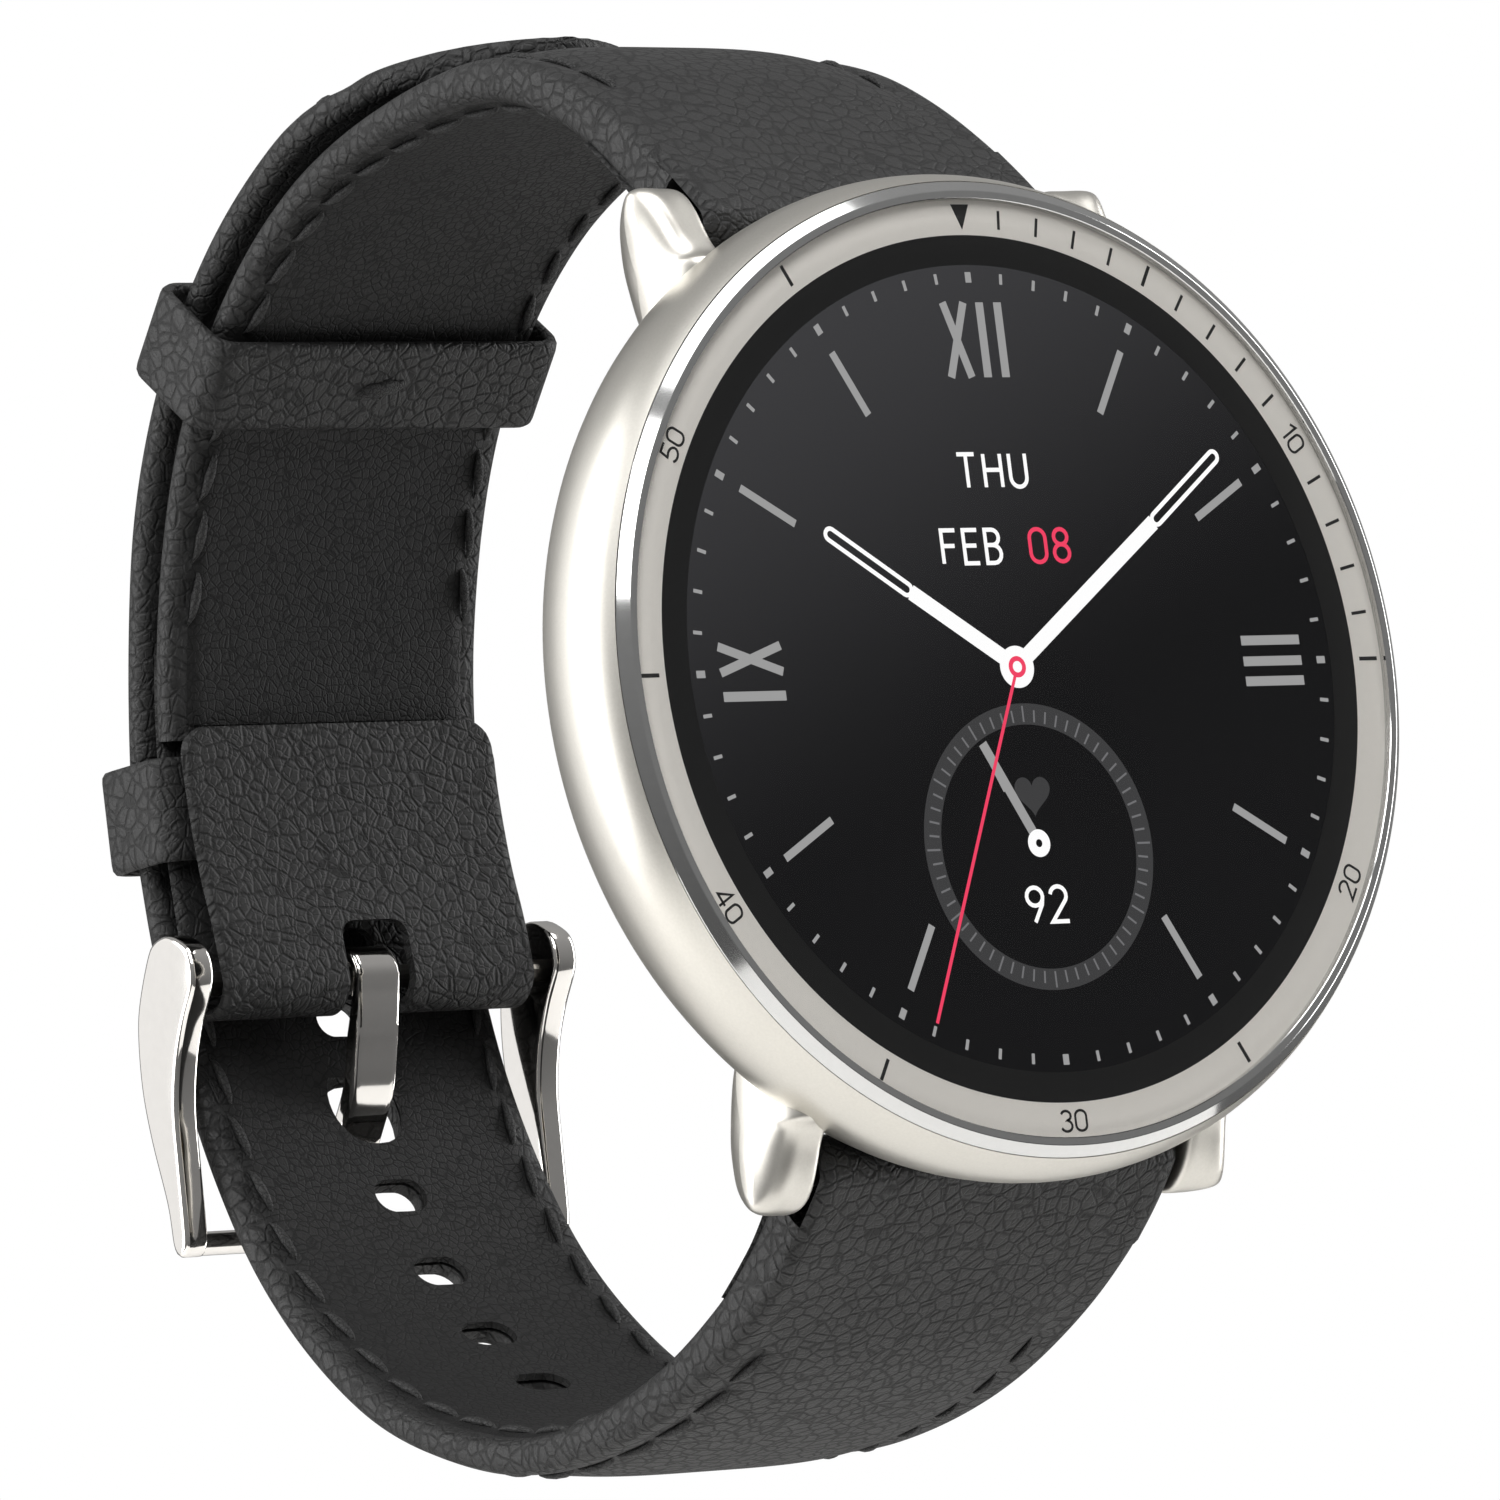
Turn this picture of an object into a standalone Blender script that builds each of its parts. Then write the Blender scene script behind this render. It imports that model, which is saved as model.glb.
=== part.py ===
"""Smartwatch: round metal case with a bonded screen, worn on a leather strap closed by a pin buckle.

The row frame has +X to 3 o'clock, +Z to 12 o'clock and +Y through the case to the wrist. Its origin is
the middle of the flat sensor window. Sizes below are in millimetres, and a depth is counted from the
printed minute ring towards the wrist.
"""

import math

import bmesh
import bpy
from mathutils import Matrix, Vector

MM = 0.001
SEAT_DEPTH = 9.3
GAP = 0.3

# Case
CASE_RADIUS = 21.92
CASE_LIP_RADIUS = 21.3
WAIST_DEPTH = 2.4
BACK_DEPTH = 8.3
BACK_RADIUS = 16.02
CAVITY_RADIUS = 17.6
CAVITY_DEPTH = 3.0
LEDGE_DEPTH = 6.7
LEDGE_RADIUS = 13.8
BACK_OPENING = 15.3
FRONT_OPENING = 21.05
FRAME_OPENING = 19.4
LATHE_STEPS = 64
SMALL_STEPS = 16

# Lugs and spring bars
LUG_INNER = 10.1
LUG_SECTIONS = ((10.1, 0, 9.3), (11.2, 0, 9.2), (11.9, 0.3, 8.35), (12.4, 1.4, 7.5), (12.6, 2.5, 7.0))
SCOOP_RADIUS = 1.95
BAR_DEPTH = 6.6
BAR_HEIGHT = 20.42
BAR_RADIUS = 0.7
BAR_BORE = 0.5
BAR_HALF = 9.8
TIP_RADIUS = 0.3
TIP_END = 11.2
LUG_HOLE_RADIUS = 0.65
LUG_HOLE_END = 11.6

# Buttons
BUTTON_ANGLES = {"upper": 30, "lower": -30}
BUTTON_DEPTH = 4.4
BUTTON_RADIUS = 1.8
BUTTON_TOP = 23.0
BUTTON_FOOT = 21.65
POCKET_RADIUS = 2.1
POCKET_FLOOR = 21.0
STEM_RADIUS = 0.5
STEM_END = 17.0
STEM_HOLE = 1.6

# Strap
LOOP_RADIUS = 1.5
LEATHER = 0.5
KEEPER_CENTRE = (26.8, 6.2)
UNDER_RADIUS = 24.5
OVER_RADIUS = 27.0
KEEPER_ANGLE = 41.2
KEEPER_WIDTH = 4.5
HOLE_PITCH = 4.8
HOLE_WIDTH = 3.2
HOLE_LENGTH = 2.4
USED_HOLE_LENGTH = 3.6
STATION = 3.2
MIN_STATION = 0.4
STATION_TURN = math.radians(13)

# Buckle
BUCKLE_BAR = (50.2, -5.6)
BUCKLE_BAR_RADIUS = 0.55
BUCKLE_LOOP_RADIUS = 1.7
CROSSBAR = (51.6, -17.3)
CROSSBAR_RADIUS = 0.55
PLATE_INNER = 9.6
PLATE_OUTER = 10.9
TONGUE_WIDTH = 2.4

LOOKS = {
    "nickel": ((0.66, 0.64, 0.60), 1.0, 0.28),
    "polished": ((0.72, 0.71, 0.69), 1.0, 0.08),
    "steel": ((0.50, 0.50, 0.50), 1.0, 0.35),
    "leather": ((0.030, 0.030, 0.031), 0.0, 0.55),
    "lining": ((0.022, 0.022, 0.022), 0.0, 0.80),
    "foam": ((0.05, 0.05, 0.05), 0.0, 0.95),
    "glass": ((0.02, 0.02, 0.02), 0.0, 0.03),
    "screen": ((0.011, 0.011, 0.012), 0.0, 0.25),
    "ring": ((0.55, 0.53, 0.49), 0.0, 0.45),
    "rubber": ((0.02, 0.02, 0.02), 0.0, 0.70),
    "plastic": ((0.04, 0.04, 0.04), 0.0, 0.50),
    "board": ((0.01, 0.06, 0.03), 0.0, 0.45),
    "cell": ((0.35, 0.35, 0.37), 0.0, 0.40),
    "gold": ((0.80, 0.55, 0.20), 1.0, 0.25),
}


def clear_scene():
    for obj in list(bpy.data.objects):
        bpy.data.objects.remove(obj, do_unlink=True)


def at(x, depth, height):
    """A point of the row frame, in metres, from its distances across, behind and up the dial."""
    return Vector((x, depth - SEAT_DEPTH, height)) * MM


def material(name, look):
    colour, metallic, roughness = LOOKS[look]
    made = bpy.data.materials.new(name)
    made.use_nodes = True
    shader = made.node_tree.nodes["Principled BSDF"]
    shader.inputs["Base Color"].default_value = (*colour, 1.0)
    shader.inputs["Metallic"].default_value = metallic
    shader.inputs["Roughness"].default_value = roughness
    made.diffuse_color = (*colour, 1.0)
    return made


def add_object(name, bm, look, smooth_angle=None, origin=None):
    """Make a named object from a bmesh in row coordinates, with its origin at the given point."""
    bmesh.ops.recalc_face_normals(bm, faces=bm.faces)
    mesh = bpy.data.meshes.new(name)
    if origin is not None:
        bmesh.ops.translate(bm, vec=-origin, verts=bm.verts)
    bm.to_mesh(mesh)
    bm.free()
    obj = bpy.data.objects.new(name, mesh)
    if origin is not None:
        obj.location = origin
    mesh.materials.append(material(name, look))
    if smooth_angle is not None:
        mesh.shade_smooth()
        mesh.set_sharp_from_angle(angle=math.radians(smooth_angle))
    bpy.context.scene.collection.objects.link(obj)
    return obj


def add_cutter(name, bm):
    cutter = add_object(name, bm, "plastic")
    cutter.hide_render = True
    cutter.display_type = "WIRE"
    return cutter


def combine(obj, other, operation):
    modifier = obj.modifiers.new(other.name, "BOOLEAN")
    modifier.operation = operation
    modifier.solver = "EXACT"
    modifier.object = other


def axis_frame(origin, axis):
    """A matrix whose local Z runs along the axis from the origin."""
    return Matrix.Translation(origin) @ axis.to_track_quat("Z", "Y").to_matrix().to_4x4()


DIAL = axis_frame(at(0, 0, 0), Vector((0, 1, 0)))


def lathe(profile, steps=LATHE_STEPS, frame=DIAL, closed=False):
    """Turn (radius, length) points about the frame's Z axis. A closed profile makes a ring."""
    bm = bmesh.new()
    points = [bm.verts.new((radius * MM, 0, length * MM)) for radius, length in profile]
    pairs = list(zip(points, points[1:]))
    if closed:
        pairs.append((points[-1], points[0]))
    edges = [bm.edges.new(pair) for pair in pairs]
    bmesh.ops.spin(
        bm, geom=points + edges, cent=(0, 0, 0), axis=(0, 0, 1), angle=math.tau, steps=steps, use_merge=True
    )
    bmesh.ops.remove_doubles(bm, verts=bm.verts, dist=1e-7)
    bmesh.ops.transform(bm, matrix=frame, verts=bm.verts)
    return bm


def ring(inner, outer, start, end, steps=LATHE_STEPS, frame=DIAL):
    return lathe([(inner, start), (outer, start), (outer, end), (inner, end)], steps, frame, closed=True)


def disc(radius, start, end, steps=LATHE_STEPS, frame=DIAL):
    return lathe([(0, start), (radius, start), (radius, end), (0, end)], steps, frame)


def box(low, high, bevel=0.0):
    """A block between two (x, depth, height) corners."""
    bm = bmesh.new()
    bmesh.ops.create_cube(bm, size=1.0)
    first, last = at(*low), at(*high)
    bmesh.ops.scale(bm, vec=last - first, verts=bm.verts)
    bmesh.ops.translate(bm, vec=(first + last) / 2, verts=bm.verts)
    if bevel:
        bmesh.ops.bevel(bm, geom=bm.edges, offset=bevel * MM, segments=1, affect="EDGES", profile=0.5)
    return bm


def arc(centre, radius, first, last, count):
    """Points of a circle in the (depth, height) plane, from the first to the last angle in degrees."""
    points = []
    for index in range(count + 1):
        angle = math.radians(first + (last - first) * index / count)
        points.append((centre[0] + radius * math.cos(angle), centre[1] + radius * math.sin(angle)))
    return points


def prism(outline, start, end):
    """A plate with a (depth, height) outline, between two distances across the dial."""
    bm = bmesh.new()
    face = bm.faces.new([bm.verts.new(at(start, depth, height)) for depth, height in outline])
    moved = bmesh.ops.extrude_face_region(bm, geom=[face])
    verts = [item for item in moved["geom"] if isinstance(item, bmesh.types.BMVert)]
    bmesh.ops.translate(bm, vec=(at(end, 0, 0) - at(start, 0, 0)), verts=verts)
    return bm


def loft(rings):
    """A closed skin through rings with equal numbers of points, capped at both ends."""
    bm = bmesh.new()
    loops = []
    for points in rings:
        loops.append([bm.verts.new(point) for point in points])
    for before, after in zip(loops, loops[1:]):
        for index in range(len(before)):
            following = (index + 1) % len(before)
            bm.faces.new((before[index], before[following], after[following], after[index]))
    bm.faces.new(loops[0])
    bm.faces.new(loops[-1])
    return bm


class Route:
    """A smooth line in the (depth, height) plane, read by the distance along it."""

    def __init__(self, points, inward):
        self.inward = inward
        self.points = []
        for index in range(len(points) - 1):
            before = points[max(index - 1, 0)]
            after = points[min(index + 2, len(points) - 1)]
            for step in range(8):
                self.points.append(self.blend(before, points[index], points[index + 1], after, step / 8))
        self.points.append(Vector(points[-1]))
        self.lengths = [0.0]
        for first, last in zip(self.points, self.points[1:]):
            self.lengths.append(self.lengths[-1] + (last - first).length)
        self.length = self.lengths[-1]

    @staticmethod
    def blend(before, first, last, after, part):
        """The Catmull-Rom curve from the first to the last point."""
        p0, p1, p2, p3 = Vector(before), Vector(first), Vector(last), Vector(after)
        line = 2 * p1 + (p2 - p0) * part
        bend = (2 * p0 - 5 * p1 + 4 * p2 - p3) * part**2
        twist = (3 * p1 - p0 - 3 * p2 + p3) * part**3
        return (line + bend + twist) / 2

    def place(self, length):
        """The point at this distance and the unit direction across the strap towards the wrist."""
        length = min(max(length, 0.0), self.length)
        index = 1
        while self.lengths[index] < length and index < len(self.lengths) - 1:
            index += 1
        span = self.lengths[index] - self.lengths[index - 1]
        part = (length - self.lengths[index - 1]) / span
        point = self.points[index - 1].lerp(self.points[index], part)
        before = self.points[max(index - 2, 0)]
        after = self.points[min(index + 1, len(self.points) - 1)]
        tangent = (after - before).normalized()
        return point, Vector((-tangent.y, tangent.x)) * self.inward

    def offset(self, length, depth):
        point, across = self.place(length)
        return tuple(point + across * depth)


def table(pairs):
    """A function that reads straight lines between (length, value) pairs."""

    def read(length):
        for (first, low), (last, high) in zip(pairs, pairs[1:]):
            if length <= last:
                return low + (high - low) * max(length - first, 0.0) / (last - first)
        return pairs[-1][1]

    return read


def stations(route, start, end):
    """Distances along a route, closer together where it bends sharply."""
    found = [start]
    length = start
    while length < end - MIN_STATION:
        length += MIN_STATION
        turned = route.place(length)[1].angle(route.place(found[-1])[1])
        if turned > STATION_TURN or length - found[-1] > STATION:
            found.append(length)
    if end - found[-1] < MIN_STATION:
        found.pop()
    return found + [end]


def ribbon(route, start, end, near, far, half_width, edge=0.2):
    """A strip along a route. Near, far and half width are functions of the distance along it."""
    rings = []
    for length in stations(route, start, end):
        half = half_width(length)
        top, bottom = near(length), far(length)
        trim = min(edge, (bottom - top) * 0.45)
        points = []
        for x, depth in (
            (half - trim, top),
            (half, top + trim),
            (half, bottom - trim),
            (half - trim, bottom),
            (trim - half, bottom),
            (-half, bottom - trim),
            (-half, top + trim),
            (trim - half, top),
        ):
            points.append(at(x, *route.offset(length, depth)))
        rings.append(points)
    return loft(rings)


# The outer face of the buckle strap, from the 12 o'clock bar to the buckle bar
BUCKLE_ROUTE = Route(
    [(5.56, 21.5), (8.2, 24.2), (12.0, 27.3), (16.0, 29.65), (20.5, 31.0), (25.6, 31.05)]
    + arc(KEEPER_CENTRE, UNDER_RADIUS, 80, 22, 5)
    + [(51.2, 10.4), (52.0, 6.0), (52.25, 1.5), (52.1, -2.2), (51.9, -5.6)],
    inward=-1,
)

# The outer face of the hole strap, from the 6 o'clock bar round the wrist to the tip
HOLE_ROUTE = Route(
    [(5.56, -21.5), (8.4, -24.15), (12.6, -26.85), (18.1, -29.2), (24.2, -30.5), (30.0, -30.65), (35.6, -29.35)]
    + [(40.7, -27.1), (45.1, -23.7), (48.6, -19.7), (51.0, -15.4), (52.7, -11.0), (53.8, -6.4)]
    + [(54.5, -1.5), (54.6, 3.6)]
    + arc(KEEPER_CENTRE, OVER_RADIUS, 10, 66, 4)
    + [(32.2, 32.5), (29.0, 32.85), (26.0, 32.9)],
    inward=1,
)

BUCKLE_THICKNESS = table([(0, 3.0), (4, 2.75), (9, 2.35), (15, 2.15), (21, 1.9), (30, 1.6), (36, 1.45)])
HOLE_THICKNESS = table([(0, 3.0), (4, 2.75), (9, 2.35), (15, 2.15), (24, 1.85), (34, 1.6), (48, 1.45)])
BUCKLE_WIDTH = table([(0, 9.8), (32, 8.9), (80, 8.75)])
HOLE_WIDTH_ALONG = table([(0, 9.8), (60, 8.9), (140, 8.75)])


def lug_section(x, shift, back):
    """One side outline of a lug, squeezed between a front set back by the shift and a back depth."""
    outline = [(3.0, 19.2), (3.9, 19.85), (4.45, 20.2), (5.05, 21.05), (5.5, 21.6), (5.9, 21.95)]
    outline += [(6.4, 22.2), (7.2, 22.25), (8.2, 21.95), (9.0, 21.2), (9.3, 20.3), (9.3, 18.4), (8.2, 15.6)]
    outline += [(4.6, 15.6)]
    points = []
    for depth, height in outline:
        part = (depth - 3.0) / (SEAT_DEPTH - 3.0)
        flare = 0.03 * (height - 18) * (x - LUG_INNER)
        points.append(at(x + flare, 3.0 + shift + part * (back - 3.0 - shift), height - 0.12 * shift))
    return points


def mirrored(bm, across, up):
    """Flip a bmesh about the dial's middle, across or up, and return it."""
    bmesh.ops.scale(bm, vec=(across, 1, up), verts=bm.verts)
    return bm


def add_case():
    bulge = []
    for index in range(5):
        part = index / 4
        depth = 0.1 + (WAIST_DEPTH - 0.1) * part
        bulge.append((CASE_RADIUS - (CASE_RADIUS - CASE_LIP_RADIUS) * (1 - part) ** 2.2, depth))
    flank = arc((BACK_RADIUS, WAIST_DEPTH), CASE_RADIUS - BACK_RADIUS, 0, 90, 8)
    case = add_object(
        "case_body", lathe([(0, 0.1)] + bulge + flank[1:] + [(0, BACK_DEPTH)]), "nickel", smooth_angle=30
    )
    for across in (1, -1):
        for up in (1, -1):
            rings = [lug_section(*section) for section in LUG_SECTIONS]
            lug = add_cutter(f"lug_{across}_{up}", mirrored(loft(rings), across, up))
            combine(case, lug, "UNION")
    for up in (1, -1):
        across = axis_frame(at(0, BAR_DEPTH, up * BAR_HEIGHT), Vector((1, 0, 0)))
        scoop = disc(SCOOP_RADIUS, 0.05 - LUG_INNER, LUG_INNER - 0.05, 32, across)
        combine(case, add_cutter(f"strap_scoop_{up}", scoop), "DIFFERENCE")
        for side in (1, -1):
            frame = axis_frame(at(side * (LUG_INNER - 1), BAR_DEPTH, up * BAR_HEIGHT), Vector((side, 0, 0)))
            bore = disc(LUG_HOLE_RADIUS, 0, LUG_HOLE_END - LUG_INNER + 1, SMALL_STEPS, frame)
            combine(case, add_cutter(f"lug_hole_{side}_{up}", bore), "DIFFERENCE")
    for name, angle in BUTTON_ANGLES.items():
        frame = button_frame(angle)
        pocket = [(0, STEM_END - 2), (STEM_HOLE, STEM_END - 2), (STEM_HOLE, POCKET_FLOOR)]
        pocket += [(POCKET_RADIUS, POCKET_FLOOR), (POCKET_RADIUS, BUTTON_TOP + 1), (0, BUTTON_TOP + 1)]
        combine(case, add_cutter(f"{name}_pocket", lathe(pocket, SMALL_STEPS, frame)), "DIFFERENCE")
    port = disc(0.5, CAVITY_RADIUS - 1, 24, SMALL_STEPS, button_frame(0))
    combine(case, add_cutter("sound_port", port), "DIFFERENCE")
    hollow = [(0, -1), (FRONT_OPENING, -1), (FRONT_OPENING, 2.3), (FRAME_OPENING, 2.3)]
    hollow += [(FRAME_OPENING, CAVITY_DEPTH), (CAVITY_RADIUS, CAVITY_DEPTH), (CAVITY_RADIUS, LEDGE_DEPTH - 0.6)]
    hollow += [(LEDGE_RADIUS, LEDGE_DEPTH - 0.6), (LEDGE_RADIUS, LEDGE_DEPTH), (BACK_OPENING, LEDGE_DEPTH)]
    hollow += [(BACK_OPENING, BACK_DEPTH + 1), (0, BACK_DEPTH + 1)]
    combine(case, add_cutter("case_hollow", lathe(hollow)), "DIFFERENCE")


def button_frame(angle):
    """Local Z runs out of the case at this angle above 3 o'clock."""
    turn = math.radians(angle)
    return axis_frame(at(0, BUTTON_DEPTH, 0), Vector((math.cos(turn), 0, math.sin(turn))))


def add_front():
    bezel = [(19.5, 1.7), (20.4, 1.7), (20.4, -0.4), (20.75, -0.4), (21.0, -0.15), (20.75, -0.15)]
    bezel += [(20.75, 2.0), (19.5, 2.0)]
    add_object("bezel_ring", lathe(bezel, closed=True), "polished", smooth_angle=30)
    glass = [(0, -0.36), (19.9, -0.36), (20.1, -0.2), (20.1, 0.24), (0, 0.24)]
    add_object("cover_glass", lathe(glass), "glass", smooth_angle=20)
    add_object("minute_track_ring", ring(18.9, 20.1, 0.54, 0.84), "ring", smooth_angle=30)
    add_object("glass_gasket", ring(19.4, 20.1, 1.14, 1.4), "rubber", smooth_angle=30)
    add_object("display_panel", disc(18.6, 0.54, 1.5), "screen", smooth_angle=30)


def add_insides():
    inner_frame = add_object("inner_frame", disc(19.0, 1.8, 2.6), "plastic", smooth_angle=30)
    window = box((-4.5, 1, -17.4), (4.5, 4, -14.4))
    combine(inner_frame, add_cutter("flex_window", window), "DIFFERENCE")
    flex = Route([(1.85, -15.9), (2.4, -16.0), (2.9, -15.4), (3.1, -14.6), (3.1, -13.9)], inward=1)
    flat = table([(0, 3.5), (9, 3.5)])
    strip = ribbon(flex, 0, flex.length, table([(0, 0), (9, 0)]), table([(0, 0.15), (9, 0.15)]), flat, 0.02)
    add_object("display_flex", strip, "gold")
    add_object("main_board", box((-12.2, 2.9, 1.5), (11.4, 3.6, 12)), "board")
    add_object("processor_shield", box((-6, 3.9, 3), (6, 5.1, 10.5), 0.2), "steel")
    add_object("battery", box((-11, 3.4, -13), (11, 5.7, 0.8), 0.4), "cell")
    motor = axis_frame(at(-13.9, 4.9, 2.0), Vector((0, 0, 1)))
    add_object("vibration_motor", disc(0.95, 0, 6, SMALL_STEPS, motor), "steel", smooth_angle=30)
    add_object("speaker", box((-15.5, 3.4, -7), (-11.6, 5.4, 0.5), 0.3), "plastic")
    add_object("microphone", box((14.6, 3.6, -1.6), (16.6, 5.0, 1.6), 0.1), "steel")


def add_back():
    cover = [(5.6, 7.5), (15.0, 7.5), (15.0, BACK_DEPTH), (5.6, BACK_DEPTH)]
    cover = add_object("rear_cover", lathe(cover, closed=True), "plastic", smooth_angle=30)
    add_object("rear_gasket", ring(14.0, 15.0, 7.0, 7.2), "rubber", smooth_angle=30)
    window = [(0, 8.0), (5.2, 8.0), (5.2, 8.6), (9.4, 8.6), (9.2, 8.8), (7.6, 9.2), (6.8, SEAT_DEPTH)]
    add_object("sensor_window", lathe(window + [(0, SEAT_DEPTH)]), "glass", smooth_angle=20)
    add_object("sensor_board", disc(4.8, 6.4, 7.0, 32), "board", smooth_angle=30)
    for name, x in (("green_led", -2.2), ("red_led", 2.2)):
        add_object(name, box((x - 0.6, 7.3, -0.6), (x + 0.6, 7.7, 0.6)), "ring")
    add_object("photodiode", box((-0.8, 7.3, -3.2), (0.8, 7.7, -1.8)), "screen")
    for side, name in ((-1, "charge_contact_left"), (1, "charge_contact_right")):
        frame = axis_frame(at(side * 3, 7.0, -11), Vector((0, 1, 0)))
        hole = add_cutter(f"{name}_hole", disc(1.2, 0, 2, SMALL_STEPS, frame))
        combine(cover, hole, "DIFFERENCE")
        add_object(name, disc(0.9, 0, BACK_DEPTH - 7.0, SMALL_STEPS, frame), "gold", smooth_angle=30)


def add_button(name, angle):
    """A cap on a stem that presses a dome switch, with a seal in the case wall."""
    frame = button_frame(angle)
    foot = at(0, BUTTON_DEPTH, 0) + (frame.to_3x3() @ Vector((0, 0, BUTTON_FOOT * MM)))
    shape = [(0, STEM_END), (STEM_RADIUS, STEM_END), (STEM_RADIUS, BUTTON_FOOT), (BUTTON_RADIUS, BUTTON_FOOT)]
    shape += [(BUTTON_RADIUS, BUTTON_TOP - 0.35), (BUTTON_RADIUS - 0.35, BUTTON_TOP), (0, BUTTON_TOP)]
    add_object(f"{name}_button", lathe(shape, 24, frame), "polished", smooth_angle=30, origin=foot)
    seal = ring(STEM_RADIUS + GAP, STEM_HOLE - GAP, 20.45, 20.85, SMALL_STEPS, frame)
    add_object(f"{name}_button_seal", seal, "rubber", smooth_angle=30)
    switch = disc(1.0, STEM_END - 2.0, STEM_END - 0.6, SMALL_STEPS, frame)
    add_object(f"{name}_button_switch", switch, "steel", smooth_angle=30)


def add_spring_bar(name, up):
    """A tube with one fixed end and one sprung tip, which holds the strap between two lugs."""
    frame = axis_frame(at(0, BAR_DEPTH, up * BAR_HEIGHT), Vector((1, 0, 0)))
    tube = [(0, -TIP_END), (TIP_RADIUS, -TIP_END), (TIP_RADIUS, -BAR_HALF), (BAR_RADIUS, -BAR_HALF)]
    tube += [(BAR_RADIUS, BAR_HALF), (BAR_BORE, BAR_HALF), (BAR_BORE, 2.0), (0, 2.0)]
    add_object(f"{name}_bar_tube", lathe(tube, SMALL_STEPS, frame), "steel", smooth_angle=30)
    tip = [(0, 6.0), (TIP_RADIUS, 6.0), (TIP_RADIUS, TIP_END), (0, TIP_END)]
    origin = at(6.0, BAR_DEPTH, up * BAR_HEIGHT)
    add_object(f"{name}_bar_tip", lathe(tip, 12, frame), "steel", smooth_angle=30, origin=origin)


def loop_route(route, thickness, centre, angles):
    """The leather's outer face where a short flap of it turns round a spring bar."""
    flap = [route.offset(length, thickness(length)) for length in (8.8, 6.6, 4.4)]
    return flap + arc(centre, LOOP_RADIUS, *angles, 7)


def add_buckle_strap():
    route, thickness = BUCKLE_ROUTE, BUCKLE_THICKNESS
    end = route.length
    start_turn = loop_route(route, thickness, (BAR_DEPTH, BAR_HEIGHT), (-50, -215))
    flap = [(48.8, -3.2), (49.3, -0.6), (49.6, 2.4), (49.75, 6.2)]
    end_turn = arc(BUCKLE_BAR, BUCKLE_LOOP_RADIUS, -20, -180, 7) + flap
    body = [route.offset(length, 0) for length in lengths_between(0, end, 30)]
    grain = Route(start_turn + body + end_turn, inward=-1)
    sheet = table([(0, LEATHER), (200, LEATHER)])
    none = table([(0, 0), (200, 0)])
    first = Route(start_turn + body[:1], inward=-1).length
    width = table([(0, 9.6), (first, 9.8), (first + 32, 8.9), (grain.length, 8.75)])
    outer = add_object("buckle_strap_outer", ribbon(grain, 0, grain.length, none, sheet, width), "leather", 40)
    notch = add_cutter("tongue_notch", box((-1.95, 47, -9), (1.95, 53.5, -2.9)))
    combine(outer, notch, "DIFFERENCE")
    core_near = table([(0, LEATHER + GAP), (200, LEATHER + GAP)])
    core = ribbon(
        route, 3.0, 19, core_near, lambda s: thickness(s) - LEATHER - GAP, lambda s: BUCKLE_WIDTH(s) - 2.4
    )
    add_object("buckle_strap_padding", core, "foam", 40)
    lining = ribbon(route, 9.0, end - 12.7, lambda s: thickness(s) - 0.5, thickness, BUCKLE_WIDTH)
    add_object("buckle_strap_lining", lining, "lining", 40)


def lengths_between(start, end, count):
    return [start + (end - start) * index / count for index in range(1, count)]


def add_hole_strap():
    route, thickness = HOLE_ROUTE, HOLE_THICKNESS
    end = route.length
    start_turn = loop_route(route, thickness, (BAR_DEPTH, -BAR_HEIGHT), (50, 215))
    body = [route.offset(length, 0) for length in lengths_between(0, end, 46)]
    grain = Route(start_turn + body + [route.offset(end, 0)], inward=1)
    first = Route(start_turn + body[:1], inward=1).length
    last = grain.length
    tip = [(last - 11, 8.75), (last - 8, 8.4), (last - 6, 7.7), (last - 4, 6.6), (last - 2, 4.9), (last - 1, 3.6)]
    tip += [(last, 1.8)]
    width = table([(0, 9.6), (first, 9.8), (first + 60, 8.9)] + tip)
    sheet = table([(0, LEATHER), (last - 30, LEATHER), (last - 24, 0.5), (last, 0.5)])
    none = table([(0, 0), (200, 0)])
    outer = add_object("hole_strap_outer", ribbon(grain, 0, last, none, sheet, width), "leather", 40)
    core_near = table([(0, LEATHER + GAP), (200, LEATHER + GAP)])
    core = ribbon(
        route, 3.0, 19, core_near, lambda s: thickness(s) - LEATHER - GAP, lambda s: HOLE_WIDTH_ALONG(s) - 2.4
    )
    add_object("hole_strap_padding", core, "foam", 40)
    thin = table([(0, 0), (end - 28, 0), (end - 22, 0.2), (end, 0.2)])
    tip = [(end - 11.5, 8.75), (end - 8.5, 8.3), (end - 6, 7.3), (end - 4, 6.0), (end - 2, 3.9), (end - 1.2, 2.4)]
    width = table([(0, 9.8), (60, 8.9)] + tip)
    lining = ribbon(
        route,
        9.0,
        end - 1.2,
        lambda s: thickness(s) - 0.5,
        lambda s: thickness(s) - thin(s),
        width,
    )
    lining = add_object("hole_strap_lining", lining, "lining", 40)
    for index, cutter in enumerate(hole_cutters(route)):
        combine(outer, cutter, "DIFFERENCE")
        combine(lining, cutter, "DIFFERENCE")


def oval(width, length, height, frame):
    """An oval plug, wide along the frame's X, for one strap hole."""
    bm = bmesh.new()
    bmesh.ops.create_cone(
        bm, cap_ends=True, segments=16, radius1=length * MM / 2, radius2=length * MM / 2, depth=height * MM
    )
    for vert in bm.verts:
        vert.co.x += math.copysign((width - length) * MM / 2, vert.co.x) if abs(vert.co.x) > 1e-6 else 0
    bmesh.ops.transform(bm, matrix=frame, verts=bm.verts)
    return bm


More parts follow.
